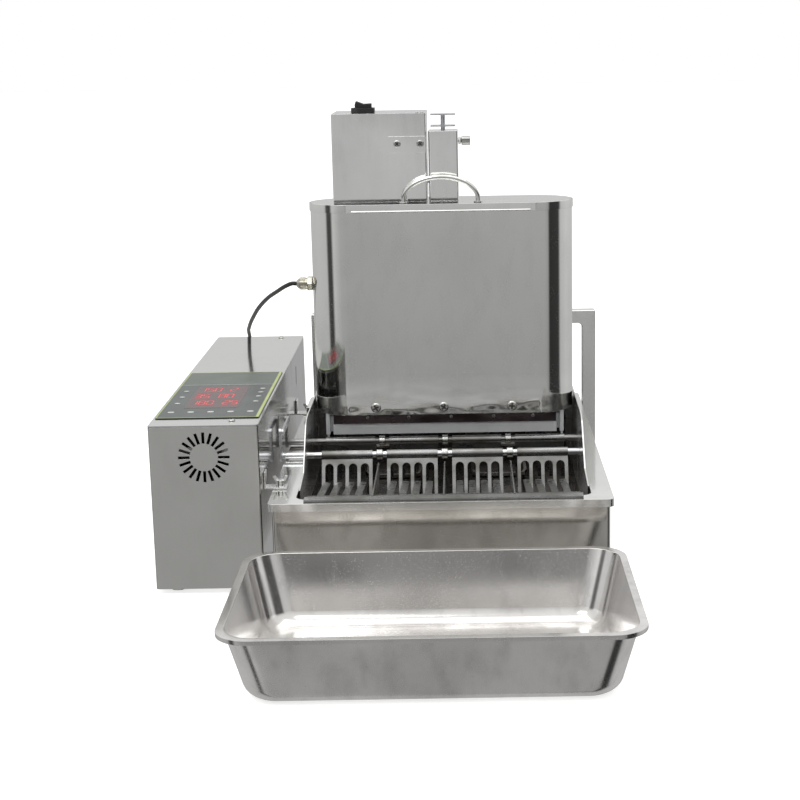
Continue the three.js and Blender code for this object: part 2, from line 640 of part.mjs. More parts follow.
piece('plunger_rack', geometryOf(plungerRack()), 'alloy');

const armSlot = (x0, x1) => box(x0, x1,
  liftY - driveArm.size / 2 - driveArm.slotMargin, liftY + driveArm.size / 2 + driveArm.slotMargin,
  armZ - driveArm.size / 2 - driveArm.slotMargin,
  armZ + driveArm.size / 2 + plunger.stroke + driveArm.slotMargin);
const adjusterZ = columnTop - adjuster.drop;
function driveColumn() {
  const y0 = driveFront + column.frontInset;
  const y1 = y0 + column.depth;
  const bottom = coverTop + gap;
  const shell = slab(columnX0, columnX1, y0, y1, bottom, columnTop, 3, 3);
  const hollow = box(columnX0 + column.wall, columnX1 - column.wall, y0 + column.wall,
    y1 - column.wall, bottom - 1, columnTop - column.wall);
  return cut(shell, hollow, armSlot(columnX0 - 1, columnX0 + column.wall + 1),
    rod('z', columnTop - column.wall - 1, columnTop + 1, [liftX, liftY], plunger.pinRadius + 1),
    rod('x', columnX1 - column.wall - 1, columnX1 + 1, [liftY, adjusterZ],
      adjuster.radius + adjuster.clearance));
}
piece('drive_column', geometryOf(driveColumn()), 'alloy');

function adjustingScrew() {
  const knobX = columnX1 + adjuster.neck;
  return joined(
    rod('x', columnX1 - column.wall - 4, knobX + 1, [liftY, adjusterZ], adjuster.radius, 16),
    rod('x', knobX, knobX + adjuster.knobLength, [liftY, adjusterZ], adjuster.knobRadius, 6));
}
piece('adjusting_screw', geometryOf(adjustingScrew()), 'satin');

const bezelX0 = boxX0 + rocker.fromLeft;
const bezelX1 = bezelX0 + rocker.bezelWidth;
const bezelY0 = driveFront + rocker.fromFront;
const bezelY1 = bezelY0 + rocker.bezelDepth;
function motorBoxBody() {
  const back = driveFront + motorBox.depth;
  const shell = slab(boxX0, boxX1, driveFront, back, boxBottom, boxTop, 2, 2);
  const hollow = box(boxX0 + motorBox.wall, boxX1 - motorBox.wall, driveFront + motorBox.wall,
    back - motorBox.wall, boxBottom - 1, boxTop - motorBox.wall);
  const bracketZ = boxTop - motorBracket.topDrop;
  const bracket = box(boxX1 - motorBracket.width - 1, boxX1 - 1,
    driveFront - motorBracket.thickness, driveFront + 0.5,
    bracketZ - motorBracket.height, bracketZ);
  const switchHole = box(bezelX0 + rocker.wall, bezelX1 - rocker.wall, bezelY0 + rocker.wall,
    bezelY1 - rocker.wall, boxTop - motorBox.wall - 1, boxTop + 1);
  return joined(cut(shell, hollow, armSlot(boxX1 - motorBox.wall - 1, boxX1 + 1), switchHole),
    bracket);
}
piece('motor_box', geometryOf(motorBoxBody()), 'mirror');

function dosingMotor() {
  const y0 = driveFront + motorBox.wall + gearbox.frontGap;
  const z0 = crankAxisZ - gearbox.height / 2;
  const block = slab(gearboxX0, gearboxX1, y0, y0 + gearbox.depth, z0, z0 + gearbox.height, 3, 3);
  const motorY = y0 + gearbox.depth / 2;
  return joined(block, rod('x', gearboxX0 - gearMotor.length, gearboxX0 + 1,
    [motorY, crankAxisZ], gearMotor.radius, 20));
}
piece('dosing_motor', geometryOf(dosingMotor()), 'motor');

function crankDiscBody() {
  const pinZ = crankAxisZ - plunger.stroke / 2;
  return joined(
    rod('x', gearboxX1 + gap, discX0 + 0.5, [liftY, crankAxisZ], crankDisc.hubRadius, 16),
    rod('x', discX0, discX1, [liftY, crankAxisZ], crankDisc.radius, 20),
    rod('x', discX1 - 0.5, discX1 + 0.5, [liftY, pinZ], conRod.pinRadius, 16));
}
piece('crank_disc', geometryOf(crankDiscBody()), 'satin');

function connectingRod() {
  const outline = new THREE.Shape();
  const top = armZ + conRod.length;
  outline.absarc(liftY, armZ, conRod.eyeRadius, Math.PI, Math.PI * 2);
  outline.absarc(liftY, top, conRod.eyeRadius, 0, Math.PI);
  const eye = (z) => rod('x', rodX0 - 1, rodX1 + 1, [liftY, z],
    conRod.pinRadius + conRod.pinClearance, 16);
  return cut(upright(outline, rodX0, rodX1, 10), eye(armZ), eye(top));
}
piece('connecting_rod', geometryOf(connectingRod()), 'alloy');

// ---------------------------------------------------------------- rocker switch
const rockerZ = boxTop + gap + rocker.bezelHeight;
function switchBezel() {
  const bottom = boxTop + gap;
  const frame = slab(bezelX0, bezelX1, bezelY0, bezelY1, bottom, rockerZ, 2, 3);
  const hollow = box(bezelX0 + rocker.wall, bezelX1 - rocker.wall, bezelY0 + rocker.wall,
    bezelY1 - rocker.wall, bottom - 1, rockerZ + 1);
  return cut(frame, hollow);
}
piece('switch_bezel', geometryOf(switchBezel()), 'black');

function switchRocker() {
  const halfX = rocker.bezelWidth / 2 - rocker.wall - rocker.clearance;
  const halfY = rocker.bezelDepth / 2 - rocker.wall - rocker.clearance;
  const rise = rocker.height;
  const outline = polygon([[-halfX + 2, -2], [halfX - 2, -2], [halfX - 0.8, 2], [halfX - 1.5, rise - 3],
    [0, rise - 5], [-halfX + 1.5, rise - 3], [-halfX + 0.8, 2]]);
  const geometry = new THREE.ExtrudeGeometry(outline, { depth: halfY * 2, bevelEnabled: false });
  geometry.rotateX(Math.PI / 2);
  geometry.translate(0, halfY, 0);
  geometry.rotateY(THREE.MathUtils.degToRad(rocker.restTilt));
  geometry.translate((bezelX0 + bezelX1) / 2, (bezelY0 + bezelY1) / 2, rockerZ);
  return solid(geometry);
}
piece('switch_rocker', geometryOf(switchRocker()), 'black');

// ---------------------------------------------------------------- control box
const wallInner = caseLeft + sheet;
function controlCase() {
  const y0 = controlBox.frontY;
  const top = caseTop - sheet - gap;
  const shell = slab(caseLeft, caseRight, y0, caseBack, controlBox.feet, top, 3, 4);
  const hollow = box(wallInner, caseRight - sheet, y0 + sheet, caseBack - sheet,
    controlBox.feet + sheet, top + 1);
  let shellBody = cut(shell, hollow);
  const middle = (vent.innerRadius + vent.outerRadius) / 2;
  for (let i = 0; i < vent.slots; i += 1) {
    const slot = new THREE.BoxGeometry(vent.slotWidth, sheet * 4, vent.outerRadius - vent.innerRadius);
    slot.translate(0, 0, middle);
    slot.rotateY((i / vent.slots) * Math.PI * 2);
    slot.translate(caseMiddle, y0, ventZ);
    shellBody = cut(shellBody, solid(slot));
  }
  const slotZ = caseTop - sideSlot.belowTop;
  shellBody = cut(shellBody,
    box(caseRight - sheet - 1, caseRight + 1, sideSlot.y - sideSlot.width / 2,
      sideSlot.y + sideSlot.width / 2, slotZ - sideSlot.height / 2, slotZ + sideSlot.height / 2),
    rod('x', caseRight - sheet - 1, caseRight + 1, [turner.y, shaftZ],
      shaft.radius + shaft.caseClearance));
  [caseLeft + controlBox.footInset, caseRight - controlBox.footInset].forEach((x) => {
    [y0 + controlBox.footInset, caseBack - controlBox.footInset].forEach((y) => {
      shellBody = joined(shellBody, rod('z', 0, controlBox.feet + 0.5, [x, y], controlBox.footRadius, 12));
    });
  });
  const barY = y0 + fan.behindFront + fan.depth + fan.barGap;
  return joined(shellBody,
    box(wallInner - 0.5, caseRight - sheet + 0.5, barY, barY + fan.barThickness,
      ventZ - fan.barHeight / 2, ventZ + fan.barHeight / 2),
    rod('y', y0 + fan.behindFront + 1, barY + 1, [caseMiddle, ventZ], fan.pinRadius, 12));
}
piece('control_case', geometryOf(controlCase()), 'satin');

const keysX = Array.from({ length: key.count },
  (_, i) => caseMiddle + (i - (key.count - 1) / 2) * key.pitch);
function keyShape(x, grow) {
  return roundedRectangle(x - key.width / 2 - grow, x + key.width / 2 + grow,
    key.y - key.depth / 2 - grow, key.y + key.depth / 2 + grow, key.depth / 2 + grow - 0.05);
}
const keyHole = (x, z0, z1) => raised(keyShape(x, key.clearance), z0, z1, 3);
function controlCover() {
  const cover = slab(caseLeft, caseRight, controlBox.frontY, caseBack, caseTop - sheet, caseTop, 3, 3);
  return cut(cover, ...keysX.map((x) => keyHole(x, caseTop - sheet - 1, caseTop + 1)));
}
piece('control_cover', geometryOf(controlCover()), 'satin');

const panelTop = caseTop + gap + panel.thickness;
function controlPanel() {
  const film = slab(caseLeft + panel.margin, caseRight - panel.margin, panel.startY,
    panel.startY + panel.length, caseTop + gap, panelTop, 3, 3);
  return cut(film, ...keysX.map((x) => keyHole(x, caseTop - 1, panelTop + 1)));
}
piece('control_panel', geometryOf(controlPanel()), 'film');
keysX.forEach((x, i) => piece(`panel_key_${i + 1}`,
  geometryOf(raised(keyShape(x, 0), panelTop - key.stem, panelTop + 0.2, 3)), 'keys'));

function fanRotor() {
  const y0 = controlBox.frontY + fan.behindFront;
  let rotor = rod('y', y0, y0 + fan.depth, [caseMiddle, ventZ], fan.hubRadius, 14);
  for (let i = 0; i < fan.blades; i += 1) {
    const blade = new THREE.BoxGeometry(fan.bladeThickness, fan.depth * 0.95,
      fanRadius - fan.hubRadius + 2);
    blade.rotateZ(fan.bladeTwist);
    blade.translate(0, 0, (fanRadius + fan.hubRadius) / 2 - 1);
    blade.rotateY((i / fan.blades) * Math.PI * 2);
    blade.translate(caseMiddle, y0 + fan.depth / 2, ventZ);
    rotor = joined(rotor, solid(blade));
  }
  return cut(rotor, rod('y', y0 + 0.7, y0 + fan.depth + 1, [caseMiddle, ventZ],
    fan.pinRadius + gap, 12));
}
piece('fan_rotor', geometryOf(fanRotor()), 'black');

function paddleMotorBody() {
  const coupling = turnerShaftLeft - gap;
  const face = coupling - paddleMotor.couplingLength;
  const bed = box(face - paddleMotor.length, face - 4, turner.y - paddleMotor.radius,
    turner.y + paddleMotor.radius, controlBox.feet + sheet + gap, shaftZ - paddleMotor.bedDrop);
  return joined(
    rod('x', face - 1, coupling, [turner.y, shaftZ], paddleMotor.couplingRadius, 14),
    rod('x', face - paddleMotor.length, face, [turner.y, shaftZ], paddleMotor.radius, 20),
    bed);
}
piece('paddle_motor', geometryOf(paddleMotorBody()), 'motor');

function powerInlet() {
  const x1 = caseRight - inlet.fromRight;
  const x0 = x1 - inlet.width;
  const y0 = caseBack + gap;
  const z0 = inlet.z - inlet.height / 2;
  const z1 = inlet.z + inlet.height / 2;
  return cut(box(x0, x1, y0, y0 + inlet.depth, z0, z1),
    box(x0 + inlet.wall, x1 - inlet.wall, y0 + 2, y0 + inlet.depth + 1, z0 + inlet.wall,
      z1 - inlet.wall));
}
piece('power_inlet', geometryOf(powerInlet()), 'black');

// ---------------------------------------------------------------- glands and lead
const glandLength = gland.nutLength + gland.bodyLength + gland.tipLength;
/** A cable gland standing off a wall at start, pointing along one axis by the sign given. */
function glandBody(axis, start, sign, centre) {
  const step = (a, b, radius, sides) => {
    const ends = [start + sign * a, start + sign * b];
    return rod(axis, Math.min(...ends), Math.max(...ends), centre, radius, sides);
  };
  return joined(
    step(0, gland.nutLength, gland.nutRadius, 6),
    step(gland.nutLength - 1, gland.nutLength + gland.bodyLength, gland.bodyRadius, 20),
    step(gland.nutLength + gland.bodyLength - 1, glandLength, gland.tipRadius, 16));
}
const hopperGlandX = -hopperHalf - gap;
const hopperGlandZ = hopperBottom + hopperGlandAboveFloor;
piece('hopper_gland', geometryOf(glandBody('x', hopperGlandX, -1, [hopperY, hopperGlandZ])), 'brass');
const controlGlandX = caseLeft + controlGland.fromLeft;
piece('control_gland',
  geometryOf(glandBody('y', caseBack + gap, 1, [controlGlandX, controlGland.z])), 'brass');

// The lead leaves the hopper gland to the left, sinks past the back of the control box
// and turns round into the gland on its back wall.
const leadStart = new THREE.Vector3(hopperGlandX - glandLength - gap, hopperY, hopperGlandZ);
const leadEnd = new THREE.Vector3(controlGlandX, caseBack + gap + glandLength + gap, controlGland.z);
const leadRoute = [
  [-191.5, 301, 317], [-202, 311, 311.5], [-214, 330, 302.5], [-226, 352, 293], [-238, 378, 281],
  [-249.5, 408, 267], [-259.5, 440, 252], [-268.5, 474, 238], [-276, 508, 226.5], [-281.5, 542, 218.5],
  [-285, 574, 210], [-287.5, 604, 198], [-288, 628, 182], [-288.5, 638, 170], [-289, 641, 158],
  [-289, 638, 145], [-289, 628, 136], [-289, 617, 132],
];
const leadCurve = new THREE.CatmullRomCurve3([
  leadStart, ...leadRoute.map((point) => new THREE.Vector3(...point)), leadEnd], false, 'centripetal');
piece('motor_lead', geometryOf(solid(tube(leadCurve, cordRadius, 44, 8))), 'black');

// ---------------------------------------------------------------- rear frame and straps
function rearFrameBody() {
  const y0 = tankBack - rearFrame.behind;
  const top = rim.top + rearFrame.rise;
  const y1 = y0 + rearFrame.tube;
  const leftX0 = rim.left + rearFrame.leftInset;
  const rightX0 = rim.right + rearFrame.rimGap;
  const rightX1 = rightX0 + rearFrame.tube;
  const barZ0 = top - rearFrame.tube;
  const fillet = (x, sign) => {
    const r = rearFrame.innerRadius;
    const block = box(Math.min(x, x + sign * r), Math.max(x, x + sign * r), y0, y1, barZ0 - r, barZ0 + 0.5);
    return cut(block, rod('y', y0 - 1, y1 + 1, [x + sign * r, barZ0 - r], r, 24));
  };
  const stayZ = barZ0 + rearFrame.stayRise;
  return joined(
    box(leftX0, leftX0 + rearFrame.tube, y0, y1, rim.top + gap, top),
    box(rightX0, rightX1, y0, y1, rearFrame.bottom, top),
    box(leftX0, rightX1, y0, y1, barZ0, top),
    fillet(leftX0 + rearFrame.tube - 0.01, 1), fillet(rightX0 + 0.01, -1),
    box(body.right + gap, rightX0 + 1, y0, y1, rearFrame.bottom, rearFrame.bottom + rearFrame.padHeight),
    box(-rearFrame.stayWidth / 2, rearFrame.stayWidth / 2, hopper.frontY + hopper.depth + gap, y0 + 1,
      stayZ, stayZ + rearFrame.stayHeight));
}
piece('rear_frame', geometryOf(rearFrameBody()), 'satin');

function strapBody(y) {
  const y1 = y + strap.width;
  const z0 = rim.top + gap;
  const x0 = caseRight + gap;
  const x1 = rim.left + strap.lap;
  const middleX = rim.left + strap.lap / 2;
  const middleY = y + strap.width / 2;
  const nutTop = z0 + strap.thickness + strap.nutHeight;
  const wingTop = strap.nutHeight + strap.wingRise;
  const wingShape = polygon([[-strap.wingRoot, 0], [strap.wingRoot, 0], [strap.wing, wingTop - 1],
    [strap.wing - strap.wingTip, wingTop], [0, strap.nutHeight - 2],
    [-strap.wing + strap.wingTip, wingTop], [-strap.wing, wingTop - 1]]);
  const wings = new THREE.ExtrudeGeometry(wingShape, {
    depth: strap.wingThickness, bevelEnabled: false,
  });
  wings.rotateX(Math.PI / 2);
  wings.translate(middleX, middleY + strap.wingThickness / 2, z0 + strap.thickness - 0.5);
  return joined(
    box(x0, x1, y, y1, z0, z0 + strap.thickness),
    box(x0, x0 + strap.thickness, y, y1, z0, z0 + strap.drop),
    rod('z', z0 + 1, nutTop, [middleX, middleY], strap.nutRadius, 12),
    solid(wings));
}
piece('strap_front', geometryOf(strapBody(strap.frontY)), 'satin');
piece('strap_rear', geometryOf(strapBody(tankBack - strap.behind)), 'satin');

// ---------------------------------------------------------------- collecting tray
/** A dish lofted through rounded rectangles: rings of points, each [inset, z, radius]. */
function dish(rings, cornerSteps = 5) {
  const halfX = tray.width / 2;
  const halfY = tray.depth / 2;
  const positions = [];
  const perRing = 4 * (cornerSteps + 1);
  rings.forEach(([inset, z, radius]) => {
    const hx = halfX - inset - radius;
    const hy = halfY - inset - radius;
    [[1, -1, -90], [1, 1, 0], [-1, 1, 90], [-1, -1, 180]].forEach(([sx, sy, start]) => {
      for (let i = 0; i <= cornerSteps; i += 1) {
        const angle = THREE.MathUtils.degToRad(start + (90 * i) / cornerSteps);
        positions.push(sx * hx + radius * Math.cos(angle), sy * hy + radius * Math.sin(angle), z);
      }
    });
  });
  const faces = [];
  for (let ring = 0; ring < rings.length - 1; ring += 1) {
    for (let i = 0; i < perRing; i += 1) {
      const next = (i + 1) % perRing;
      const a = ring * perRing + i;
      const b = ring * perRing + next;
      faces.push(a, b, b + perRing, a, b + perRing, a + perRing);
    }
  }
  const capRing = (ring, up) => {
    const centre = positions.length / 3;
    positions.push(0, 0, rings[ring][1]);
    for (let i = 0; i < perRing; i += 1) {
      const a = ring * perRing + i;
      const b = ring * perRing + ((i + 1) % perRing);
      faces.push(...(up ? [centre, a, b] : [centre, b, a]));
    }
  };
  capRing(0, false);
  capRing(rings.length - 1, true);
  const geometry = new THREE.BufferGeometry();
  geometry.setAttribute('position', new THREE.Float32BufferAttribute(positions, 3));
  geometry.setIndex(faces);
  return geometry;
}
function collectingTray() {
  const f = tray.floorFillet;
  const filletSteps = 3;
  const wallTop = tray.height - tray.rimHeight;
  const insetAt = (z) => tray.rim + tray.taper * (1 - z / tray.height);
  const rings = [];
  for (let i = 0; i <= filletSteps; i += 1) {
    const angle = (Math.PI / 2) * (i / filletSteps);
    rings.push([insetAt(f) + f * (1 - Math.sin(angle)), f * (1 - Math.cos(angle)), tray.baseRadius]);
  }
  rings.push([insetAt(wallTop), wallTop, tray.cornerRadius - tray.rim]);
  rings.push([0, wallTop + 0.5, tray.cornerRadius]);
  rings.push([0, tray.height - 0.8, tray.cornerRadius]);
  rings.push([0.8, tray.height, tray.cornerRadius - 0.8]);
  const w = tray.wall;
  rings.push([insetAt(tray.height) + w, tray.height, tray.cornerRadius - tray.rim - w]);
  for (let i = filletSteps; i >= 0; i -= 1) {
    const angle = (Math.PI / 2) * (i / filletSteps);
    const r = f - w;
    rings.push([insetAt(f) + w + r * (1 - Math.sin(angle)), w + r * (1 - Math.cos(angle)),
      tray.baseRadius - w]);
  }
  const geometry = dish(rings);
  geometry.translate(tray.centreX, -tray.behind - tray.depth / 2, 0);
  return solid(geometry);
}
piece('collecting_tray', geometryOf(collectingTray()), 'satin');

// ---------------------------------------------------------------- origin
// The lead doesn't count: the footprint is that of the machine itself.
machine.updateMatrixWorld(true);
const bounds = new THREE.Box3();
machine.children.filter((mesh) => mesh.name !== 'motor_lead')
  .forEach((mesh) => bounds.expandByObject(mesh));
const middle = bounds.getCenter(new THREE.Vector3());
machine.position.set(-middle.x, -middle.y, -bounds.min.z);

export default machine;
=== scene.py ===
"""The looks of a four-lane donut maker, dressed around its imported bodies.

The machine has a control box, an oil tank with swinging combs, a batter hopper with its
plunger drive, and a loose collecting tray. Metres, +Z up, +Y away from the operator.
"""

import json
import logging
import math
from collections.abc import Callable, Iterator, Sequence
from contextlib import contextmanager
from dataclasses import dataclass, field
from enum import Enum
from typing import Any

import bmesh
import bpy
from mathutils import Matrix, Vector


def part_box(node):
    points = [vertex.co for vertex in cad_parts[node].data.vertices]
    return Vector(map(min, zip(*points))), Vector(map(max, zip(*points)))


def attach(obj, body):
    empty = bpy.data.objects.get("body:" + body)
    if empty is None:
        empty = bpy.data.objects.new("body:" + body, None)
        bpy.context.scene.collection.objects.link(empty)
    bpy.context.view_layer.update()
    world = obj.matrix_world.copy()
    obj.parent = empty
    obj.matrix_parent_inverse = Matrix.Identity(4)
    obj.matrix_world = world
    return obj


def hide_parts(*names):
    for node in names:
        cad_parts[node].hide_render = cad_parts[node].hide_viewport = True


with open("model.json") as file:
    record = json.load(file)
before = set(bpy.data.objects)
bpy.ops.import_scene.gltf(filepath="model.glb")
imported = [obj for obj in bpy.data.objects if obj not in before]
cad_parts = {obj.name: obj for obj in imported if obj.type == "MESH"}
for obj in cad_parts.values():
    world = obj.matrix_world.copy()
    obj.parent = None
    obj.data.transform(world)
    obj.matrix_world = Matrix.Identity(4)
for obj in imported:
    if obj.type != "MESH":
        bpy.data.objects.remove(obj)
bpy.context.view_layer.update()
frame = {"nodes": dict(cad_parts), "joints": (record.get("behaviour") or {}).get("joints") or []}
LOG = logging.getLogger("donut_maker")
MM = 0.001
Piece = bpy.types.Object
Test = Callable[[Vector, Vector], bool]


# ---------------------------------------------------------------- shader arithmetic
class Signal:
    """A number that changes over a surface, with Python's arithmetic on it."""

    def __init__(self, recipe: "NodeTree", socket: bpy.types.NodeSocket) -> None:
        """Wraps one output socket of a node tree."""
        self.recipe = recipe
        self.socket = socket

    def _maths(self, operation: str, first: Any, second: Any) -> "Signal":
        """Adds one Math node.

        Args:
            operation: the Math node's operation.
            first: its first value.
            second: its second value.

        Returns:
            The node's result.
        """
        node = self.recipe.node("ShaderNodeMath", {"operation": operation}, {0: first, 1: second})
        return Signal(self.recipe, node.outputs[0])

    def __add__(self, other: Any) -> "Signal":
        """This plus other."""
        return self._maths("ADD", self, other)

    def __radd__(self, other: Any) -> "Signal":
        """Other plus this."""
        return self._maths("ADD", other, self)

    def __sub__(self, other: Any) -> "Signal":
        """This minus other."""
        return self._maths("SUBTRACT", self, other)

    def __rsub__(self, other: Any) -> "Signal":
        """Other minus this."""
        return self._maths("SUBTRACT", other, self)

    def __mul__(self, other: Any) -> "Signal":
        """This times other."""
        return self._maths("MULTIPLY", self, other)

    def __rmul__(self, other: Any) -> "Signal":
        """Other times this."""
        return self._maths("MULTIPLY", other, self)

    def __pow__(self, other: Any) -> "Signal":
        """This to the power of other."""
        return self._maths("POWER", self, other)

    def angle_over(self, other: Any) -> "Signal":
        """The angle, in radians, whose tangent is this over other."""
        return self._maths("ARCTAN2", self, other)

    def clamped(self) -> "Signal":
        """This held between 0 and 1, by the node that made it."""
        self.socket.node.use_clamp = True
        return self

    def between(self, low: float, high: float) -> "Signal":
        """Zero below low, one above high, and a smooth step between."""
        node = self.recipe.node(
            "ShaderNodeMapRange",
            {"interpolation_type": "SMOOTHSTEP"},
            {"Value": self, "From Min": low, "From Max": high},
        )
        return Signal(self.recipe, node.outputs["Result"])


class NodeTree:
    """A node tree that nodes are added to."""

    def __init__(self, tree: bpy.types.NodeTree) -> None:
        """Starts with that tree."""
        self.tree = tree

    def node(
        self,
        kind: str,
        settings: dict[str, Any] | None = None,
        inputs: dict[Any, Any] | None = None,
    ) -> bpy.types.Node:
        """Adds a node, sets it up and feeds its sockets.

        Args:
            kind: the node's type.
            settings: properties that are set first; "stops" fills a colour ramp.
            inputs: a value, socket or Signal for each named or numbered socket.

        Returns:
            The node.
        """
        node = self.tree.nodes.new(kind)
        for key, value in (settings or {}).items():
            if key == "stops":
                while len(node.color_ramp.elements) < len(value):
                    node.color_ramp.elements.new(0.5)
                for element, (position, colour) in zip(node.color_ramp.elements, value):
                    element.position = position
                    element.color = (*colour, 1)
            else:
                setattr(node, key, value)
        for key, value in (inputs or {}).items():
            self.feed(node.inputs[key], value)
        return node

    def feed(self, socket: bpy.types.NodeSocket, value: Any) -> None:
        """Links a Signal or socket to a socket, or sets its value."""
        if isinstance(value, Signal):
            value = value.socket
        if isinstance(value, bpy.types.NodeSocket):
            self.tree.links.new(value, socket)
        else:
            socket.default_value = value


class Recipe(NodeTree):
    """One material's node tree, with its Principled shader."""

    def __init__(self, name: str) -> None:
        """Starts a material of that name."""
        self.material = bpy.data.materials.new(name)
        self.material.use_nodes = True
        super().__init__(self.material.node_tree)
        self.shader = self.tree.nodes["Principled BSDF"]
        self.place = self.node("ShaderNodeTexCoord").outputs["Object"]

    def noise(
        self, scale: float, detail: float = 3, stretch: Sequence[float] = (1, 1, 1)
    ) -> Signal:
        """Noise over the piece.

        Args:
            scale: how many features there are to a metre.
            detail: how many finer layers are added.
            stretch: a factor on the scale along each axis.

        Returns:
            The noise, from about 0 to 1.
        """
        scaled = self.node(
            "ShaderNodeVectorMath", {"operation": "MULTIPLY"}, {0: self.place, 1: tuple(stretch)}
        )
        noise = self.node(
            "ShaderNodeTexNoise", {}, {"Vector": scaled.outputs[0], "Scale": scale, "Detail": detail}
        )
        return Signal(self, noise.outputs["Fac"])

    def height(self, along: int) -> Signal:
        """The place along one axis, 0 for X to 2 for Z, in metres."""
        parts = self.node("ShaderNodeSeparateXYZ", {}, {0: self.place})
        return Signal(self, parts.outputs[along])

    def blend(
        self, mask: Signal, first: Sequence[float], second: Sequence[float]
    ) -> bpy.types.NodeSocket:
        """The first colour where the mask is 0, and the second where it is 1."""
        ramp = self.node(
            "ShaderNodeValToRGB", {"stops": [(0, tuple(first)), (1, tuple(second))]}, {"Fac": mask}
        )
        return ramp.outputs["Color"]

    def relief(self, height: Signal, depth: float) -> None:
        """Presses a height, 0 to 1, into the surface, depth metres deep."""
        bump = self.node("ShaderNodeBump", {}, {"Height": height, "Distance": depth, "Strength": 1})
        self.feed(self.shader.inputs["Normal"], bump.outputs["Normal"])

    def dress(self, **sockets: Any) -> bpy.types.Material:
        """Feeds the shader's sockets, named with _ for a space, and gives the material."""
        for key, value in sockets.items():
            self.feed(self.shader.inputs[key.replace("_", " ")], value)
        return self.material


# ---------------------------------------------------------------- finishes
class Grain(Enum):
    """Which way the brushing on a metal runs, as the scale along each axis."""

    NONE = (1.0, 1.0, 1.0)
    ACROSS = (0.03, 1.0, 1.0)
    LENGTHWISE = (1.0, 0.03, 1.0)
    UPRIGHT = (1.0, 1.0, 0.03)


@dataclass(frozen=True)
class MetalFinish:
    """Bare metal: polished, brushed or machined.

    Attributes:
        name: the material's name.
        light: its clean colour.
        dark: its colour where it is stained or handled.
        smooth: the roughness of its cleanest patches.
        rough: the roughness of its dullest patches.
        grain: which way it is brushed.
        grain_depth: how deep the brushing is, in metres.
        ripple: how far the sheet is out of true, in metres.
        metallic: 1 for bare metal, less where a dull film lies on it.
        dents: below this height, in metres, the sheet is pulled out of true by its screws.
    """

    name: str
    light: tuple[float, float, float]
    dark: tuple[float, float, float]
    smooth: float
    rough: float
    grain: Grain = Grain.NONE
    grain_depth: float = 0.0
    ripple: float = 0.0
    metallic: float = 1.0
    dents: float = 0.0

    def make(self) -> bpy.types.Material:
        """Builds the material."""
        recipe = Recipe(self.name)
        lines = recipe.noise(900, 2, self.grain.value)
        cloud = recipe.noise(9, 4)
        smear = recipe.noise(46, 5, (1, 1, 0.4))
        specks = recipe.noise(1500, 0).between(0.74, 0.78) * smear.between(0.4, 0.6)
        wear = cloud.between(0.35, 0.7) * 0.6 + smear.between(0.45, 0.75) * 0.4
        relief = lines * (self.grain_depth / 1e-3) + recipe.noise(7, 1) * (self.ripple / 1e-3)
        if self.dents:
            near = 1 - recipe.height(2).between(self.dents - 0.05, self.dents)
            relief = relief + recipe.noise(13, 2, (1, 1, 2.2)) * near * 2.6
        recipe.relief(relief, 1e-3)
        return recipe.dress(
            Base_Color=recipe.blend(wear * 0.8 + lines * 0.2, self.light, self.dark),
            Roughness=self.smooth + (self.rough - self.smooth) * (wear * 0.7 + lines * 0.3)
            + specks * 0.3,
            Metallic=self.metallic,
        )


@dataclass(frozen=True)
class StainAndShadeFinish:
    """Dark steel with brown tide marks: oil and heat staining, and darker copies that paint shade on
    parts in shadow.

    Attributes:
        name: the material's name.
        clean: the colour near the top.
        stained: the colour of the tide marks.
        roughness: how dull it is.
    """

    name: str
    clean: tuple[float, float, float]
    stained: tuple[float, float, float]
    roughness: float = 0.28

    def make(self) -> bpy.types.Material:
        """Builds the material."""
        recipe = Recipe(self.name)
        tide = recipe.noise(22, 5, (1, 1, 2.4)).between(0.4, 0.68)
        lines = recipe.noise(700, 2, Grain.ACROSS.value)
        recipe.relief(lines, 2e-5)
        return recipe.dress(
            Base_Color=recipe.blend(tide, self.clean, self.stained),
            Roughness=self.roughness + 0.18 * tide + 0.08 * lines,
            Metallic=1.0,
        )


@dataclass(frozen=True)
class MouldedFinish:
    """Moulded plastic, rubber or cord sheath.

    Attributes:
        name: the material's name.
        colour: its colour.
        worn: its colour where it is dusty or rubbed.
        roughness: how dull it is.
        texture: features to a metre of its moulded grain.
        depth: how deep that grain is, in metres.
    """

    name: str
    colour: tuple[float, float, float]
    worn: tuple[float, float, float]
    roughness: float = 0.45
    texture: float = 1600
    depth: float = 2e-5

    def make(self) -> bpy.types.Material:
        """Builds the material."""
        recipe = Recipe(self.name)
        grain = recipe.noise(self.texture, 2)
        dust = recipe.noise(60, 4).between(0.5, 0.8)
        recipe.relief(grain, self.depth)
        return recipe.dress(
            Base_Color=recipe.blend(dust, self.colour, self.worn),
            Roughness=self.roughness + 0.12 * grain + 0.1 * dust,
        )


@dataclass(frozen=True)
class FilmFinish:
    """Printed polyester film with a fine orange-peel surface.

    Attributes:
        name: the material's name.
        colour: the print's colour.
        fade: the print's colour where it has paled.
        roughness: how dull it is.
        glow: how strongly it lights up.
    """

    name: str
    colour: tuple[float, float, float]
    fade: tuple[float, float, float]
    roughness: float = 0.3
    glow: float = 0.0

    def make(self) -> bpy.types.Material:
        """Builds the material."""
        recipe = Recipe(self.name)
        peel = recipe.noise(1400, 2)
        fading = recipe.noise(30, 3).between(0.35, 0.75)
        recipe.relief(peel, 1.5e-5)
        return recipe.dress(
            Base_Color=recipe.blend(fading, self.colour, self.fade),
            Roughness=self.roughness + 0.12 * peel,
            Emission_Color=recipe.blend(fading, self.colour, self.fade),
            Emission_Strength=self.glow,
        )


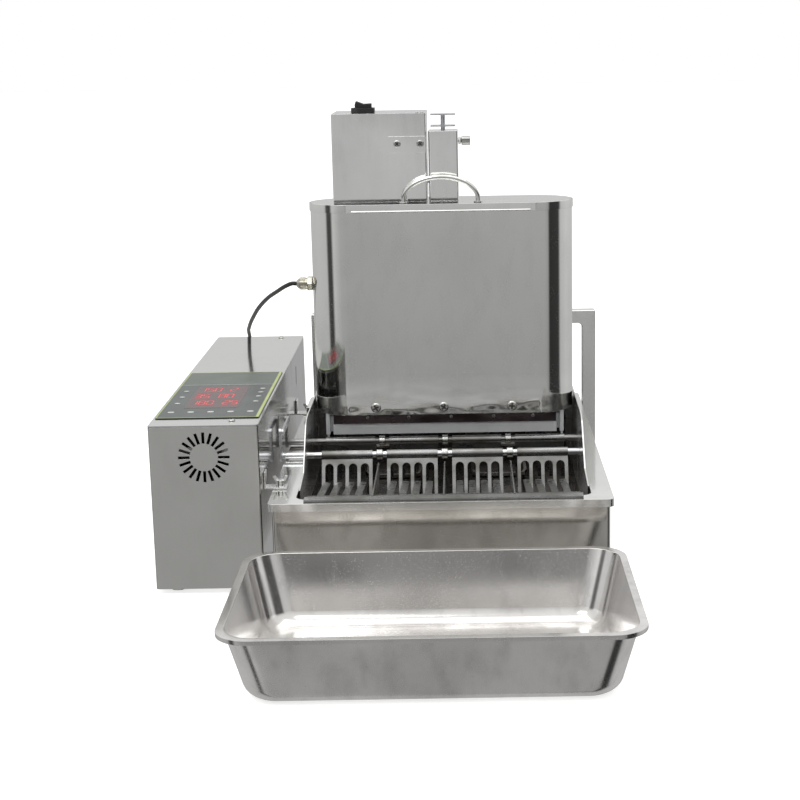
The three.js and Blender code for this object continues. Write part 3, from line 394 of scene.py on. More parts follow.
@dataclass(frozen=True)
class PaintedFinish:
    """Stoved paint with a fine hammered surface.

    Attributes:
        name: the material's name.
        colour: the paint's colour.
        chipped: its colour on rubbed spots.
    """

    name: str
    colour: tuple[float, float, float]
    chipped: tuple[float, float, float]

    def make(self) -> bpy.types.Material:
        """Builds the material."""
        recipe = Recipe(self.name)
        hammer = recipe.noise(420, 2)
        rubbed = recipe.noise(80, 4).between(0.62, 0.7)
        recipe.relief(hammer, 1e-4)
        return recipe.dress(
            Base_Color=recipe.blend(rubbed, self.colour, self.chipped),
            Roughness=0.42 + 0.15 * hammer,
        )


class Finish(Enum):
    """Every finish on the machine."""

    MIRROR = MetalFinish(
        "mirror_steel", (0.80, 0.80, 0.78), (0.70, 0.70, 0.68), 0.06, 0.13, Grain.UPRIGHT, 2e-6, 3e-4
    )
    HOPPER = MetalFinish(
        "hopper_steel", (0.80, 0.80, 0.78), (0.70, 0.70, 0.68), 0.06, 0.13, Grain.UPRIGHT, 2e-6,
        3e-4, 1.0, 0.205,
    )
    # Painted light: a whiter copy of the mirror steel, for highlights and brightly lit parts.
    BRIGHT = MetalFinish(
        "painted_lit_steel", (0.97, 0.97, 0.96), (0.86, 0.86, 0.85), 0.06, 0.14, Grain.UPRIGHT, 2e-6, 2e-4
    )
    # Painted shade: a dark copy of the front steel for the control box's left and right faces.
    SIDE = MetalFinish(
        "shaded_side_steel", (0.34, 0.34, 0.33), (0.22, 0.22, 0.215), 0.07, 0.16, Grain.UPRIGHT, 2e-6, 3e-4
    )
    BAND = MetalFinish(
        "dulled_alloy", (0.90, 0.91, 0.92), (0.74, 0.75, 0.77), 0.34, 0.46, Grain.ACROSS, 1e-5,
        0.0, 0.35,
    )
    CAP = MetalFinish(
        "polished_cap", (0.80, 0.80, 0.79), (0.68, 0.68, 0.66), 0.09, 0.2, Grain.ACROSS, 2e-6, 2e-4
    )
    HOUSING = MetalFinish(
        "housing_steel", (0.70, 0.68, 0.64), (0.46, 0.44, 0.40), 0.08, 0.2, Grain.ACROSS, 3e-6, 1.4e-3
    )
    BRUSHED = MetalFinish(
        "brushed_steel", (0.74, 0.74, 0.72), (0.64, 0.64, 0.62), 0.22, 0.34, Grain.LENGTHWISE, 5e-6, 2e-4
    )
    COVER = MetalFinish(
        "cover_steel", (0.74, 0.74, 0.725), (0.66, 0.66, 0.65), 0.11, 0.19, Grain.LENGTHWISE, 2e-6, 1e-4
    )
    FRONT = MetalFinish(
        "brushed_front", (0.76, 0.755, 0.73), (0.68, 0.675, 0.65), 0.26, 0.38, Grain.UPRIGHT, 5e-6, 2e-4
    )
    TRAY = MetalFinish(
        "pressed_steel", (0.82, 0.805, 0.79), (0.50, 0.485, 0.475), 0.12, 0.3, Grain.UPRIGHT, 4e-6, 1.6e-3
    )
    ALLOY = MetalFinish(
        "machined_alloy", (0.84, 0.85, 0.87), (0.70, 0.71, 0.74), 0.22, 0.36, Grain.ACROSS, 1e-5
    )
    PLATE = MetalFinish(
        "plain_plate", (0.90, 0.90, 0.89), (0.72, 0.72, 0.70), 0.16, 0.32, Grain.LENGTHWISE, 4e-6, 4e-4
    )
    SCREW = MetalFinish("screw_steel", (0.72, 0.72, 0.70), (0.42, 0.42, 0.40), 0.16, 0.3)
    BRASS = MetalFinish("plated_brass", (0.56, 0.54, 0.46), (0.36, 0.34, 0.27), 0.2, 0.36)
    # Stained steel, also used as painted shade in screw recesses, on the rear cover's sides and inside
    # the tank.
    STAINED = StainAndShadeFinish("oil_stain_and_painted_shade", (0.15, 0.145, 0.14), (0.075, 0.06, 0.048), 0.16)
    # Painted shade: a dark strip for the dosing block's front, in shadow under the hopper.
    SHADED = StainAndShadeFinish("painted_shade_strip", (0.11, 0.085, 0.09), (0.05, 0.038, 0.038), 0.2)
    # Darker oiled steel, also painted shade for the parts down in the tank.
    FINGERS = StainAndShadeFinish("oiled_and_shaded_steel", (0.34, 0.34, 0.34), (0.2, 0.195, 0.18), 0.2)
    BLACK = MouldedFinish("black_plastic", (0.012, 0.012, 0.013), (0.04, 0.04, 0.04), 0.34)
    SHEATH = MouldedFinish("cord_sheath", (0.016, 0.017, 0.017), (0.05, 0.05, 0.05), 0.4, 900, 4e-5)
    RUBBER = MouldedFinish("foot_rubber", (0.02, 0.02, 0.02), (0.06, 0.058, 0.055), 0.62, 500, 8e-5)
    FILM = FilmFinish("panel_film", (0.048, 0.061, 0.057), (0.068, 0.081, 0.077), 0.26)
    TITLE = FilmFinish("title_film", (0.085, 0.105, 0.088), (0.105, 0.125, 0.108), 0.3)
    WINDOW = FilmFinish("display_window", (0.075, 0.032, 0.034), (0.1, 0.042, 0.045), 0.2)
    DIGIT = FilmFinish("red_segments", (0.62, 0.03, 0.045), (0.75, 0.06, 0.07), 0.3, 0.35)
    TRIM = FilmFinish("yellow_green_line", (0.42, 0.50, 0.17), (0.52, 0.60, 0.25), 0.35)
    PALE = FilmFinish("key_film", (0.55, 0.58, 0.54), (0.66, 0.68, 0.64), 0.4)
    MOTOR = PaintedFinish("motor_paint", (0.035, 0.037, 0.04), (0.16, 0.16, 0.16))


class Store:
    """Makes each finish once."""

    made: dict[Finish, bpy.types.Material] = {}

    @classmethod
    def fetch(cls, finish: Finish) -> bpy.types.Material:
        """The material of a finish."""
        if finish not in cls.made:
            cls.made[finish] = finish.value.make()
        return cls.made[finish]


# ---------------------------------------------------------------- workbench
@dataclass(frozen=True)
class Extent:
    """The lowest and highest corner of a CAD node."""

    low: Vector
    high: Vector

    @classmethod
    def of(cls, node: str) -> "Extent":
        """The extent of a node at rest."""
        low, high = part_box(node)
        return cls(low, high)

    @property
    def middle(self) -> Vector:
        """Its middle."""
        return (self.low + self.high) / 2

    @property
    def size(self) -> Vector:
        """Its length along each axis."""
        return self.high - self.low


class Kind(Enum):
    """What an edit picks."""

    VERT = "VERT"
    EDGE = "EDGE"
    FACE = "FACE"


class Bench:
    """The workbench: modelling operators, used on one piece at a time."""

    @staticmethod
    def hold(piece: Piece) -> None:
        """Makes a piece the only one selected."""
        bpy.ops.object.select_all(action="DESELECT")
        piece.select_set(True)
        bpy.context.view_layer.objects.active = piece

    @staticmethod
    def _take(name: str) -> Piece:
        """Names the primitive just added and sinks its place into its mesh."""
        piece = bpy.context.active_object
        piece.name = name
        piece.data.name = name
        bpy.ops.object.transform_apply(location=True, rotation=True, scale=True)
        return piece

    @staticmethod
    def block(name: str, low: Sequence[float], high: Sequence[float]) -> Piece:
        """A box between two corners."""
        bpy.ops.object.select_all(action="DESELECT")
        low, high = Vector(low), Vector(high)
        bpy.ops.mesh.primitive_cube_add(size=1, location=(low + high) / 2, scale=high - low)
        return Bench._take(name)

    @staticmethod
    def bar(
        name: str,
        start: Sequence[float],
        end: Sequence[float],
        radius: float,
        sides: int = 48,
        end_radius: float | None = None,
    ) -> Piece:
        """A round bar between two points.

        Args:
            name: the piece's name.
            start: the middle of one end.
            end: the middle of the other end.
            radius: the radius at the start.
            sides: how many sides it has.
            end_radius: the radius at the end, where it tapers.

        Returns:
            The piece.
        """
        start, end = Vector(start), Vector(end)
        bpy.ops.object.select_all(action="DESELECT")
        bpy.ops.mesh.primitive_cone_add(
            vertices=sides,
            radius1=radius,
            radius2=radius if end_radius is None else end_radius,
            depth=(end - start).length,
            location=(start + end) / 2,
            rotation=Vector((0, 0, 1)).rotation_difference(end - start).to_euler(),
        )
        return Bench._take(name)

    @staticmethod
    @contextmanager
    def editing(piece: Piece, kind: Kind = Kind.FACE) -> Iterator[None]:
        """Opens a piece in edit mode with nothing selected."""
        Bench.hold(piece)
        bpy.ops.object.mode_set(mode="EDIT")
        bpy.ops.mesh.select_mode(type=kind.value)
        bpy.ops.mesh.select_all(action="DESELECT")
        yield
        bpy.ops.object.mode_set(mode="OBJECT")

    @staticmethod
    def choose(piece: Piece, kind: Kind, test: Test) -> None:
        """Selects the elements that pass a test, and no others.

        Args:
            piece: the piece that is open in edit mode.
            kind: what to select.
            test: takes an element's middle, and its normal or, for an edge, its direction.
        """
        mesh = bmesh.from_edit_mesh(piece.data)
        bpy.ops.mesh.select_mode(type=kind.value)
        bpy.ops.mesh.select_all(action="DESELECT")
        if kind is Kind.FACE:
            for face in mesh.faces:
                face.select_set(test(face.calc_center_median(), face.normal))
        elif kind is Kind.EDGE:
            for edge in mesh.edges:
                first, second = (vert.co for vert in edge.verts)
                edge.select_set(test((first + second) / 2, (second - first).normalized()))
        else:
            for vert in mesh.verts:
                vert.select_set(test(vert.co, vert.normal))
        mesh.select_flush_mode()
        bmesh.update_edit_mesh(piece.data)

    @staticmethod
    def modify(piece: Piece, modifier: str, **settings: Any) -> Piece:
        """Adds a modifier, sets it and applies it."""
        Bench.hold(piece)
        bpy.ops.object.modifier_add(type=modifier)
        added = piece.modifiers[-1]
        for key, value in settings.items():
            setattr(added, key, value)
        bpy.ops.object.modifier_apply(modifier=added.name)
        return piece

    @staticmethod
    def soften(piece: Piece, width: float, steps: int = 2, angle: float = 35) -> Piece:
        """Rounds every edge sharper than the angle, in degrees."""
        return Bench.modify(
            piece, "BEVEL", width=width, segments=steps, limit_method="ANGLE",
            angle_limit=math.radians(angle),
        )

    @staticmethod
    def carve(piece: Piece, cutter: Piece) -> Piece:
        """Cuts one piece out of another and throws the cutter away."""
        Bench.modify(piece, "BOOLEAN", operation="DIFFERENCE", object=cutter, solver="EXACT")
        bpy.data.objects.remove(cutter)
        return piece

    @staticmethod
    def join(name: str, pieces: Sequence[Piece]) -> Piece:
        """Makes several pieces one."""
        bpy.ops.object.select_all(action="DESELECT")
        for piece in pieces:
            piece.select_set(True)
        bpy.context.view_layer.objects.active = pieces[0]
        bpy.ops.object.join()
        pieces[0].name = name
        return pieces[0]

    @staticmethod
    def copy(piece: Piece, name: str, move: Matrix) -> Piece:
        """A copy with its own mesh, moved."""
        mesh = piece.data.copy()
        mesh.transform(move)
        twin = bpy.data.objects.new(name, mesh)
        bpy.context.scene.collection.objects.link(twin)
        return twin

    @staticmethod
    def merged(node: str, width: float, steps: int = 2, name: str | None = None) -> Piece:
        """A fine copy of a CAD node: merged, its flat faces joined, its edges rounded.

        Args:
            node: the CAD node.
            width: how wide the rounded edges are.
            steps: how many strips a rounded edge has.
            name: the piece's name, where it isn't the node's with _skin.

        Returns:
            The piece.
        """
        piece = Bench.copy(frame["nodes"][node], name or f"{node}_skin", Matrix.Identity(4))
        with Bench.editing(piece, Kind.VERT):
            bpy.ops.mesh.select_all(action="SELECT")
            bpy.ops.mesh.remove_doubles(threshold=1e-5)
            bpy.ops.mesh.dissolve_limited(angle_limit=math.radians(0.6))
        piece.data.materials.clear()
        return Bench.soften(piece, width, steps)

    @staticmethod
    def tube(name: str, points: Sequence[Vector], radius: float, sides: int = 6) -> Piece:
        """A round tube along a smooth line of points.

        Args:
            name: the piece's name.
            points: the points on its centreline.
            radius: its radius.
            sides: half the number of its sides, less one.

        Returns:
            The piece, as a mesh with closed ends.
        """
        line = bpy.data.curves.new(name, "CURVE")
        line.dimensions = "3D"
        line.bevel_depth = radius
        line.bevel_resolution = sides
        line.use_fill_caps = True
        spline = line.splines.new("POLY")
        spline.points.add(len(points) - 1)
        for point, place in zip(spline.points, points):
            point.co = (*place, 1)
        piece = bpy.data.objects.new(name, line)
        bpy.context.scene.collection.objects.link(piece)
        Bench.hold(piece)
        bpy.ops.object.convert(target="MESH")
        return bpy.context.active_object

    @staticmethod
    def paint(piece: Piece, finish: Finish, test: Test) -> None:
        """Gives the faces that pass a test another finish."""
        piece.data.materials.append(Store.fetch(finish))
        number = len(piece.data.materials) - 1
        for face in piece.data.polygons:
            if test(face.center, face.normal):
                face.material_index = number

    @staticmethod
    def hand_in(
        piece: Piece,
        body: str,
        finish: Finish,
        slot: str,
        replaces: Sequence[str] = (),
        angle: float = 35,
    ) -> Piece:
        """Dresses a finished piece and ties it to its body.

        Args:
            piece: the piece.
            body: the CAD body that it moves with.
            finish: its main finish.
            slot: the record's material slot; not used.
            replaces: the CAD nodes that it stands for.
            angle: edges sharper than this, in degrees, stay crisp.

        Returns:
            The piece.
        """
        if piece.data.materials:
            piece.data.materials[0] = Store.fetch(finish)
        else:
            piece.data.materials.append(Store.fetch(finish))
        Bench.hold(piece)
        bpy.ops.object.shade_smooth_by_angle(angle=math.radians(angle))
        Bench.modify(piece, "WEIGHTED_NORMAL", keep_sharp=True)
        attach(piece, body)
        if replaces:
            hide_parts(*replaces)
        LOG.info("%s rides on %s, %d faces", piece.name, body, len(piece.data.polygons))
        return piece

    @staticmethod
    def skin(node: str, body: str, finish: Finish, slot: str, width: float = 0.4 * MM) -> Piece:
        """Stands a fine copy of a CAD node in its place."""
        piece = Bench.merged(node, width)
        piece.data.materials.append(Store.fetch(finish))
        return Bench.hand_in(piece, body, finish, slot, [node])


def first_slot(piece: Piece, finish: Finish) -> None:
    """Puts a finish in a piece's first slot, before others are painted on."""
    piece.data.materials.clear()
    piece.data.materials.append(Store.fetch(finish))


# ---------------------------------------------------------------- fasteners
@dataclass
class CrossScrew:
    """A domed screw with a cross recess; modelled once, pointing up, and copied.

    Attributes:
        radius: the head's radius.
        height: how far the head stands proud.
        recess: the width of the cross.
        reach: the length of the cross, as a share of the head's width.
    """

    radius: float = 5 * MM
    height: float = 2.4 * MM
    recess: float = 1.7 * MM
    reach: float = 0.62
    model: Piece | None = None

    def build(self) -> Piece:
        """Builds the screw at the origin."""
        head = Bench.bar("cross_screw", (0, 0, 0), (0, 0, self.height), self.radius, 32)
        with Bench.editing(head, Kind.EDGE):
            top = self.height * 0.9
            Bench.choose(head, Kind.EDGE, lambda at, way: at.z > top and at.length > self.radius / 2)
            bpy.ops.mesh.bevel(offset=self.height * 0.85, segments=5, affect="EDGES")
        half, reach = self.recess / 2, self.radius * self.reach
        for low, high in (((-half, -reach), (half, reach)), ((-reach, -half), (reach, half))):
            cutter = Bench.block("cross", (*low, self.height * 0.45), (*high, self.height * 2))
            Bench.carve(head, cutter)
        first_slot(head, Finish.SCREW)
        # Painted shade: the walls and floor of the cross recess are darkened.
        Bench.paint(
            head, Finish.STAINED,
            lambda at, normal: max(abs(at.x), abs(at.y)) < reach * 1.02
            and at.z < self.height * 0.97 and abs(normal.z) < 0.5 or 0 < at.z < self.height * 0.5
            and normal.z > 0.9 and at.length < self.radius * 0.8,
        )
        return head

    def drive(self, name: str, place: Sequence[float], facing: Sequence[float], body: str,
              turn: float = 0.3) -> Piece:
        """Puts a copy at a place.

        Args:
            name: the copy's name.
            place: the middle of its seat.
            facing: the way its head points.
            body: the body that it is driven into.
            turn: how far it is turned about its own axis, in radians.

        Returns:
            The copy.
        """
        if self.model is None:
            self.model = self.build()
        move = (
            Matrix.Translation(Vector(place))
            @ Vector((0, 0, 1)).rotation_difference(Vector(facing)).to_matrix().to_4x4()
            @ Matrix.Rotation(turn, 4, "Z")
        )
        copy = Bench.copy(self.model, name, move)
        return Bench.hand_in(copy, body, Finish.SCREW, "satin_steel")

    def clear_away(self) -> None:
        """Removes the model once its copies are made."""
        if self.model is not None:
            bpy.data.objects.remove(self.model)
            self.model = None


# ---------------------------------------------------------------- tank
@dataclass
class OilTank:
    """The tank with its rim, the polished housing, feet, heater and side plates.

    Attributes:
        rim_round: the radius of the rim's edges.
        housing_round: the radius of the housing's edges.
        ring_pitch: how far apart the ribs of a foot are.
    """

    rim_round: float = 1.6 * MM
    housing_round: float = 1.0 * MM
    ring_pitch: float = 5 * MM

    def build(self) -> None:
        """Builds and dresses the tank's pieces."""
        rim = Extent.of("oil_tank")
        tank = Bench.merged("oil_tank", self.rim_round, 3)
        first_slot(tank, Finish.MIRROR)
        inside = Extent(rim.low + Vector((26, 15, 0)) * MM, rim.high - Vector((20, 15, 0.6)) * MM)
        # The tank's inside is painted dark: partly oil and heat staining, partly painted shade in the
        # deep well.
        Bench.paint(
            tank,
            Finish.STAINED,
            lambda at, normal: at.z < inside.high.z
            and inside.low.x < at.x < inside.high.x
            and inside.low.y < at.y < inside.high.y,
        )
        Bench.hand_in(tank, "chassis", Finish.MIRROR, "mirror_steel", ["oil_tank"])
        Bench.skin("base_housing", "chassis", Finish.HOUSING, "mirror_steel", self.housing_round)
        for side in ("front_left", "front_right", "rear_left", "rear_right"):
            self.foot(f"foot_{side}")
        Bench.skin("heater_element", "chassis", Finish.STAINED, "satin_steel", 0.05 * MM)
        Bench.skin("heater_terminal_box", "chassis", Finish.BRUSHED, "satin_steel", 0.8 * MM)
        # The probe gets the darker oiled steel: oil, and painted shade down in the tank.
        Bench.skin("temperature_probe", "chassis", Finish.FINGERS, "satin_steel", 0.5 * MM)
        for side in ("left", "right"):
            Bench.skin(f"side_plate_{side}", "chassis", Finish.PLATE, "satin_steel", 0.3 * MM)

    def foot(self, node: str) -> None:
        """Builds a rubber foot: a tapered stub with ribs round its side."""
        seat = Extent.of(node)
        middle = seat.middle
        stub = Bench.bar(
            f"{node}_rubber", (middle.x, middle.y, seat.low.z), (middle.x, middle.y, seat.high.z),
            seat.size.x / 2, 40, seat.size.x / 2 - 3 * MM,
        )
        with Bench.editing(stub):
            for level in range(1, 4):
                bpy.ops.mesh.select_all(action="SELECT")
                bpy.ops.mesh.bisect(
                    plane_co=(0, 0, seat.low.z + level * self.ring_pitch), plane_no=(0, 0, 1)
                )
            Bench.choose(
                stub, Kind.FACE,
                lambda at, normal: abs(normal.z) < 0.6
                and int((at.z - seat.low.z) / self.ring_pitch) % 2 == 1,
            )
            bpy.ops.mesh.inset(thickness=0.5 * MM, depth=-0.6 * MM)
        Bench.soften(stub, 0.4 * MM)
        Bench.hand_in(stub, "chassis", Finish.RUBBER, "foot_rubber", [node])


@dataclass
class Paddles:
    """The chute, both comb shafts, the link between them, and the legs beside them.

    Attributes:
        collar_radius: the radius of a collar on a shaft.
        collar_width: its length.
        leg_height: how far the light legs reach below the end brackets.
    """

    collar_radius: float = 6.2 * MM
    collar_width: float = 7 * MM
    leg_height: float = 30 * MM

    def build(self) -> None:
        """Builds and dresses the paddles."""
        # The chute and combs get the darker oiled steel: oil, and painted shade down in the tank.
        Bench.skin("discharge_chute", "chassis", Finish.FINGERS, "satin_steel", 0.3 * MM)
        for body in ("scoop", "turner"):
            # Painted shade: the turner shaft, deeper in the tank, gets the darker oiled steel; the scoop
            # shaft stays plain alloy.
            metal = Finish.ALLOY if body == "scoop" else Finish.FINGERS
            Bench.skin(f"{body}_shaft", body, metal, "aluminium_alloy", 0.5 * MM)
            lanes = [f"{body}_comb_{lane}" for lane in range(1, 5)]
            for comb in lanes:
                Bench.skin(comb, body, Finish.FINGERS, "satin_steel", 0.25 * MM)
            self.collars(body, lanes)
        Bench.skin("link_rod", "link", Finish.ALLOY, "aluminium_alloy", 0.5 * MM)
        self.legs()

    def collars(self, body: str, lanes: Sequence[str]) -> None:
        """Puts a collar between every two combs of a shaft."""
        pivot = next(j for j in frame["joints"] if j["name"] == f"{body}_swing")["pos_m"]
        combs = [Extent.of(comb) for comb in lanes]
        model: Piece | None = None
        for number, (left, right) in enumerate(zip(combs, combs[1:]), 1):
            x = (left.high.x + right.low.x) / 2
            if model is None:
                half = self.collar_width / 2
                model = Bench.bar(
                    "collar", (-half, 0, 0), (half, 0, 0), self.collar_radius, 32
                )
                with Bench.editing(model):
                    Bench.choose(model, Kind.FACE, lambda at, normal: abs(normal.x) > 0.9)
                    bpy.ops.mesh.inset(thickness=1.4 * MM, depth=0.5 * MM)
                Bench.soften(model, 0.4 * MM)
            copy = Bench.copy(
                model, f"{body}_collar_{number}", Matrix.Translation((x, pivot[1], pivot[2]))
            )
            Bench.hand_in(copy, body, Finish.SCREW, "satin_steel")
        if model is not None:
            bpy.data.objects.remove(model)

    def legs(self) -> None:
        """Builds the light tapered legs under the end brackets of the dosing block."""
        block = Extent.of("dosing_block")
        for side, x in (("left", block.low.x + 2.4 * MM), ("right", block.high.x - 2.4 * MM)):
            low = Vector((x - 1.2 * MM, block.low.y + 2 * MM, block.low.z - self.leg_height))
            high = Vector((x + 1.2 * MM, block.low.y + 16 * MM, block.low.z - 0.4 * MM))
            leg = Bench.block(f"leg_{side}", low, high)
            with Bench.editing(leg, Kind.VERT):
                Bench.choose(leg, Kind.VERT, lambda at, normal: at.z > (low.z + high.z) / 2)
                bpy.ops.transform.resize(
                    value=(1, 0.5, 1), center_override=(x, low.y, high.z)
                )
            Bench.soften(leg, 0.4 * MM)
            Bench.hand_in(leg, "chassis", Finish.ALLOY, "aluminium_alloy")


# ---------------------------------------------------------------- hopper
def obround(name: str, extent: Extent, grow: float, sides: int = 96) -> Piece:
    """An upright block with half-round ends.

    Args:
        name: the piece's name.
        extent: the corners that it fills.
        grow: how far it stands outside them, all round.
        sides: how many sides both ends have together.

    Returns:
        The piece.
    """
    radius = extent.size.y / 2
    straight = extent.size.x / 2 - radius
    middle = extent.middle
    piece = Bench.bar(
        name, (middle.x, middle.y, extent.low.z), (middle.x, middle.y, extent.high.z),
        radius + grow, sides,
    )
    turn = math.pi / sides
    with Bench.editing(piece, Kind.VERT):
        bpy.ops.mesh.select_all(action="SELECT")
        bpy.ops.transform.rotate(value=turn, orient_axis="Z", center_override=middle)
        for side in (-1, 1):
            Bench.choose(piece, Kind.VERT, lambda at, normal: side * (at.x - middle.x) > 0)
            bpy.ops.transform.translate(value=(side * straight, 0, 0))
    return piece


@dataclass
class Hopper:
    """The batter hopper with its two covers and the handle.

    Attributes:
        wall: the thickness of its sheet.
        skirt: how far the covers turn down over the wall.
        handle_radius: the radius of the handle's rod.
        screw_x: where the front screws sit, from the hopper's middle.
        screw_rise: how far the front screws are above the hopper's floor.
    """

    wall: float = 1.5 * MM
    skirt: float = 10 * MM
    handle_radius: float = 3 * MM
    screw_x: tuple[float, ...] = (-86 * MM, -1 * MM, 85 * MM)
    screw_rise: float = 10 * MM
    screws: CrossScrew = field(default_factory=lambda: CrossScrew(6.3 * MM, 2.6 * MM, 2.1 * MM))

    def build(self) -> None:
        """Builds and dresses the hopper."""
        whole = Extent.of("hopper")
        self.shell(whole)
        lid = Bench.merged("hopper_lid", 0.55 * MM, 3)
        first_slot(lid, Finish.CAP)
        # Painted highlight: the lid's front-facing faces get the lighter steel.
        Bench.paint(lid, Finish.BRIGHT, lambda at, normal: normal.y < -0.5)
        Bench.hand_in(lid, "lid", Finish.CAP, "mirror_steel", ["hopper_lid"])
        edge = Extent.of("hopper_lid").low + Vector((0, 0.1, 1.2)) * MM
        half = whole.size.x / 2 - whole.size.y / 2 - 6 * MM
        hem = Bench.bar(
            "lid_hem", (whole.middle.x - half, edge.y, edge.z),
            (whole.middle.x + half, edge.y, edge.z), 1.2 * MM, 24,
        )
        Bench.soften(hem, 0.5 * MM)
        # Painted highlight: the hem under the lid's front lip gets the lighter steel.
        Bench.hand_in(hem, "lid", Finish.BRIGHT, "mirror_steel")
        cover = Bench.merged("hopper_rear_cover", 0.3 * MM)
        first_slot(cover, Finish.CAP)
        # Painted shade: the cover's upright faces are darkened.
        Bench.paint(cover, Finish.STAINED, lambda at, normal: abs(normal.z) < 0.8)
        Bench.hand_in(cover, "chassis", Finish.CAP, "mirror_steel", ["hopper_rear_cover"])
        self.skirts(whole)
        self.handle()
        for number, x in enumerate(self.screw_x, 1):
            self.screws.drive(
                f"hopper_screw_{number}",
                (whole.middle.x + x, whole.low.y, whole.low.z + self.screw_rise),
                (0, -1, 0), "chassis", 0.5 * number,
            )
        self.screws.clear_away()

    def shell(self, whole: Extent) -> None:
        """Builds the open shell with its four outlets."""
        shell = obround("hopper_shell", whole, 0)
        with Bench.editing(shell):
            Bench.choose(shell, Kind.FACE, lambda at, normal: normal.z > 0.9)
            bpy.ops.mesh.delete(type="FACE")
            Bench.choose(
                shell, Kind.EDGE,
                lambda at, way: at.z < whole.low.z + 1e-5,
            )
            bpy.ops.mesh.bevel(offset=1.2 * MM, segments=3, affect="EDGES")
        Bench.modify(shell, "SOLIDIFY", thickness=self.wall, offset=-1, use_even_offset=True)
        for lane in range(1, 5):
            nozzle = Extent.of(f"nozzle_{lane}")
            middle = nozzle.middle
            cutter = Bench.bar(
                "outlet", (middle.x, middle.y, whole.low.z - 2 * MM),
                (middle.x, middle.y, whole.low.z + 4 * MM), nozzle.size.x / 2, 48,
            )
            Bench.carve(shell, cutter)
        Bench.hand_in(shell, "chassis", Finish.HOPPER, "mirror_steel", ["hopper"], 28)

    def skirts(self, whole: Extent) -> None:
        """Builds the turned-down edges of both covers, outside the wall."""
        lid = Extent.of("hopper_lid")
        top = lid.high.z - 0.1 * MM
        ring = Extent(
            Vector((whole.low.x, whole.low.y, top - self.skirt)),
            Vector((whole.high.x, whole.high.y, top)),
        )
        split = lid.high.y
        straight = whole.size.x / 2 - whole.size.y / 2
        for name, body in (("rear_skirt", "chassis"), ("lid_skirt", "lid")):
            band = obround(name, ring, 0.2 * MM)
            rear = body == "chassis"
            with Bench.editing(band):
                Bench.choose(band, Kind.FACE, lambda at, normal: abs(normal.z) > 0.9)
                bpy.ops.mesh.delete(type="FACE")
                bpy.ops.mesh.select_all(action="SELECT")
                bpy.ops.mesh.bisect(
                    plane_co=(0, split + (0.15 * MM if rear else -0.15 * MM), 0),
                    plane_no=(0, 1, 0), clear_inner=rear, clear_outer=not rear,
                )
                if not rear:
                    Bench.choose(
                        band, Kind.FACE,
                        lambda at, normal: abs(at.x - whole.middle.x) < straight - 1 * MM,
                    )
                    bpy.ops.mesh.delete(type="FACE")
            Bench.modify(band, "SOLIDIFY", thickness=1.0 * MM, offset=1, use_even_offset=True)
            Bench.soften(band, 0.3 * MM)
            Bench.hand_in(band, body, Finish.MIRROR, "mirror_steel")

    def handle(self) -> None:
        """Builds the arched handle and the washers at its ends."""
        extent = Extent.of("lid_handle")
        radius = self.handle_radius
        half = extent.size.x / 2 - radius
        middle = extent.middle
        shoulder = extent.low.z + 4 * MM
        rise = extent.high.z - radius - shoulder
        points = [Vector((middle.x - half, middle.y, extent.low.z))]
        for step in range(41):
            angle = math.pi * (1 - step / 40)
            points.append(Vector((
                middle.x + half * math.cos(angle), middle.y, shoulder + rise * math.sin(angle)
            )))
        points.append(Vector((middle.x + half, middle.y, extent.low.z)))
        arch = Bench.tube("handle_arch", points, radius, 5)
        Bench.hand_in(arch, "lid", Finish.MIRROR, "mirror_steel", ["lid_handle"], 60)
        for side in (-1, 1):
            x = middle.x + side * half
            washer = Bench.bar(
                f"handle_washer_{'left' if side < 0 else 'right'}",
                (x, middle.y, extent.low.z - 0.2 * MM), (x, middle.y, extent.low.z + 1.3 * MM),
                5.4 * MM, 32,
            )
            with Bench.editing(washer):
                Bench.choose(washer, Kind.FACE, lambda at, normal: normal.z > 0.9)
                bpy.ops.mesh.inset(thickness=1.6 * MM, depth=0.5 * MM)
            Bench.soften(washer, 0.3 * MM)
            Bench.hand_in(washer, "lid", Finish.SCREW, "satin_steel")


@dataclass
class DosingBlock:
    """The dosing block with its bright band, nozzles and studs.

    Attributes:
        band: the height of the bright band.
        studs: where the studs sit, from the block's middle.
    """

    band: float = 12 * MM
    studs: tuple[float, ...] = (-98 * MM, -46 * MM, 8 * MM, 62 * MM, 112 * MM)
    screws: CrossScrew = field(default_factory=lambda: CrossScrew(2.6 * MM, 1.6 * MM, 0.7 * MM))

    def build(self) -> None:
        """Builds and dresses the block."""
        extent = Extent.of("dosing_block")
        block = Bench.merged("dosing_block", 0.6 * MM)
        first_slot(block, Finish.BAND)
        edge = extent.low.z + self.band + 0.3 * MM
        front = extent.low.y + 8 * MM
        half = 140 * MM
        # Painted shade: the front faces above the band, under the hopper, are painted dark.
        Bench.paint(
            block, Finish.SHADED,
            lambda at, normal: at.z > edge and at.y < front and normal.y < -0.5
            and abs(at.x - extent.middle.x) < half,
        )
        Bench.hand_in(block, "chassis", Finish.BAND, "aluminium_alloy", ["dosing_block"])
        for lane in range(1, 5):
            # The nozzles get the darker oiled steel: oil, and painted shade under the block.
            Bench.skin(f"nozzle_{lane}", "chassis", Finish.FINGERS, "satin_steel", 0.4 * MM)
        for number, x in enumerate(self.studs, 1):
            self.screws.drive(
                f"dosing_stud_{number}",
                (extent.middle.x + x, extent.low.y + 4 * MM, extent.high.z - 7 * MM),
                (0, -1, 0), "chassis", 0.7 * number,
            )
        self.screws.clear_away()


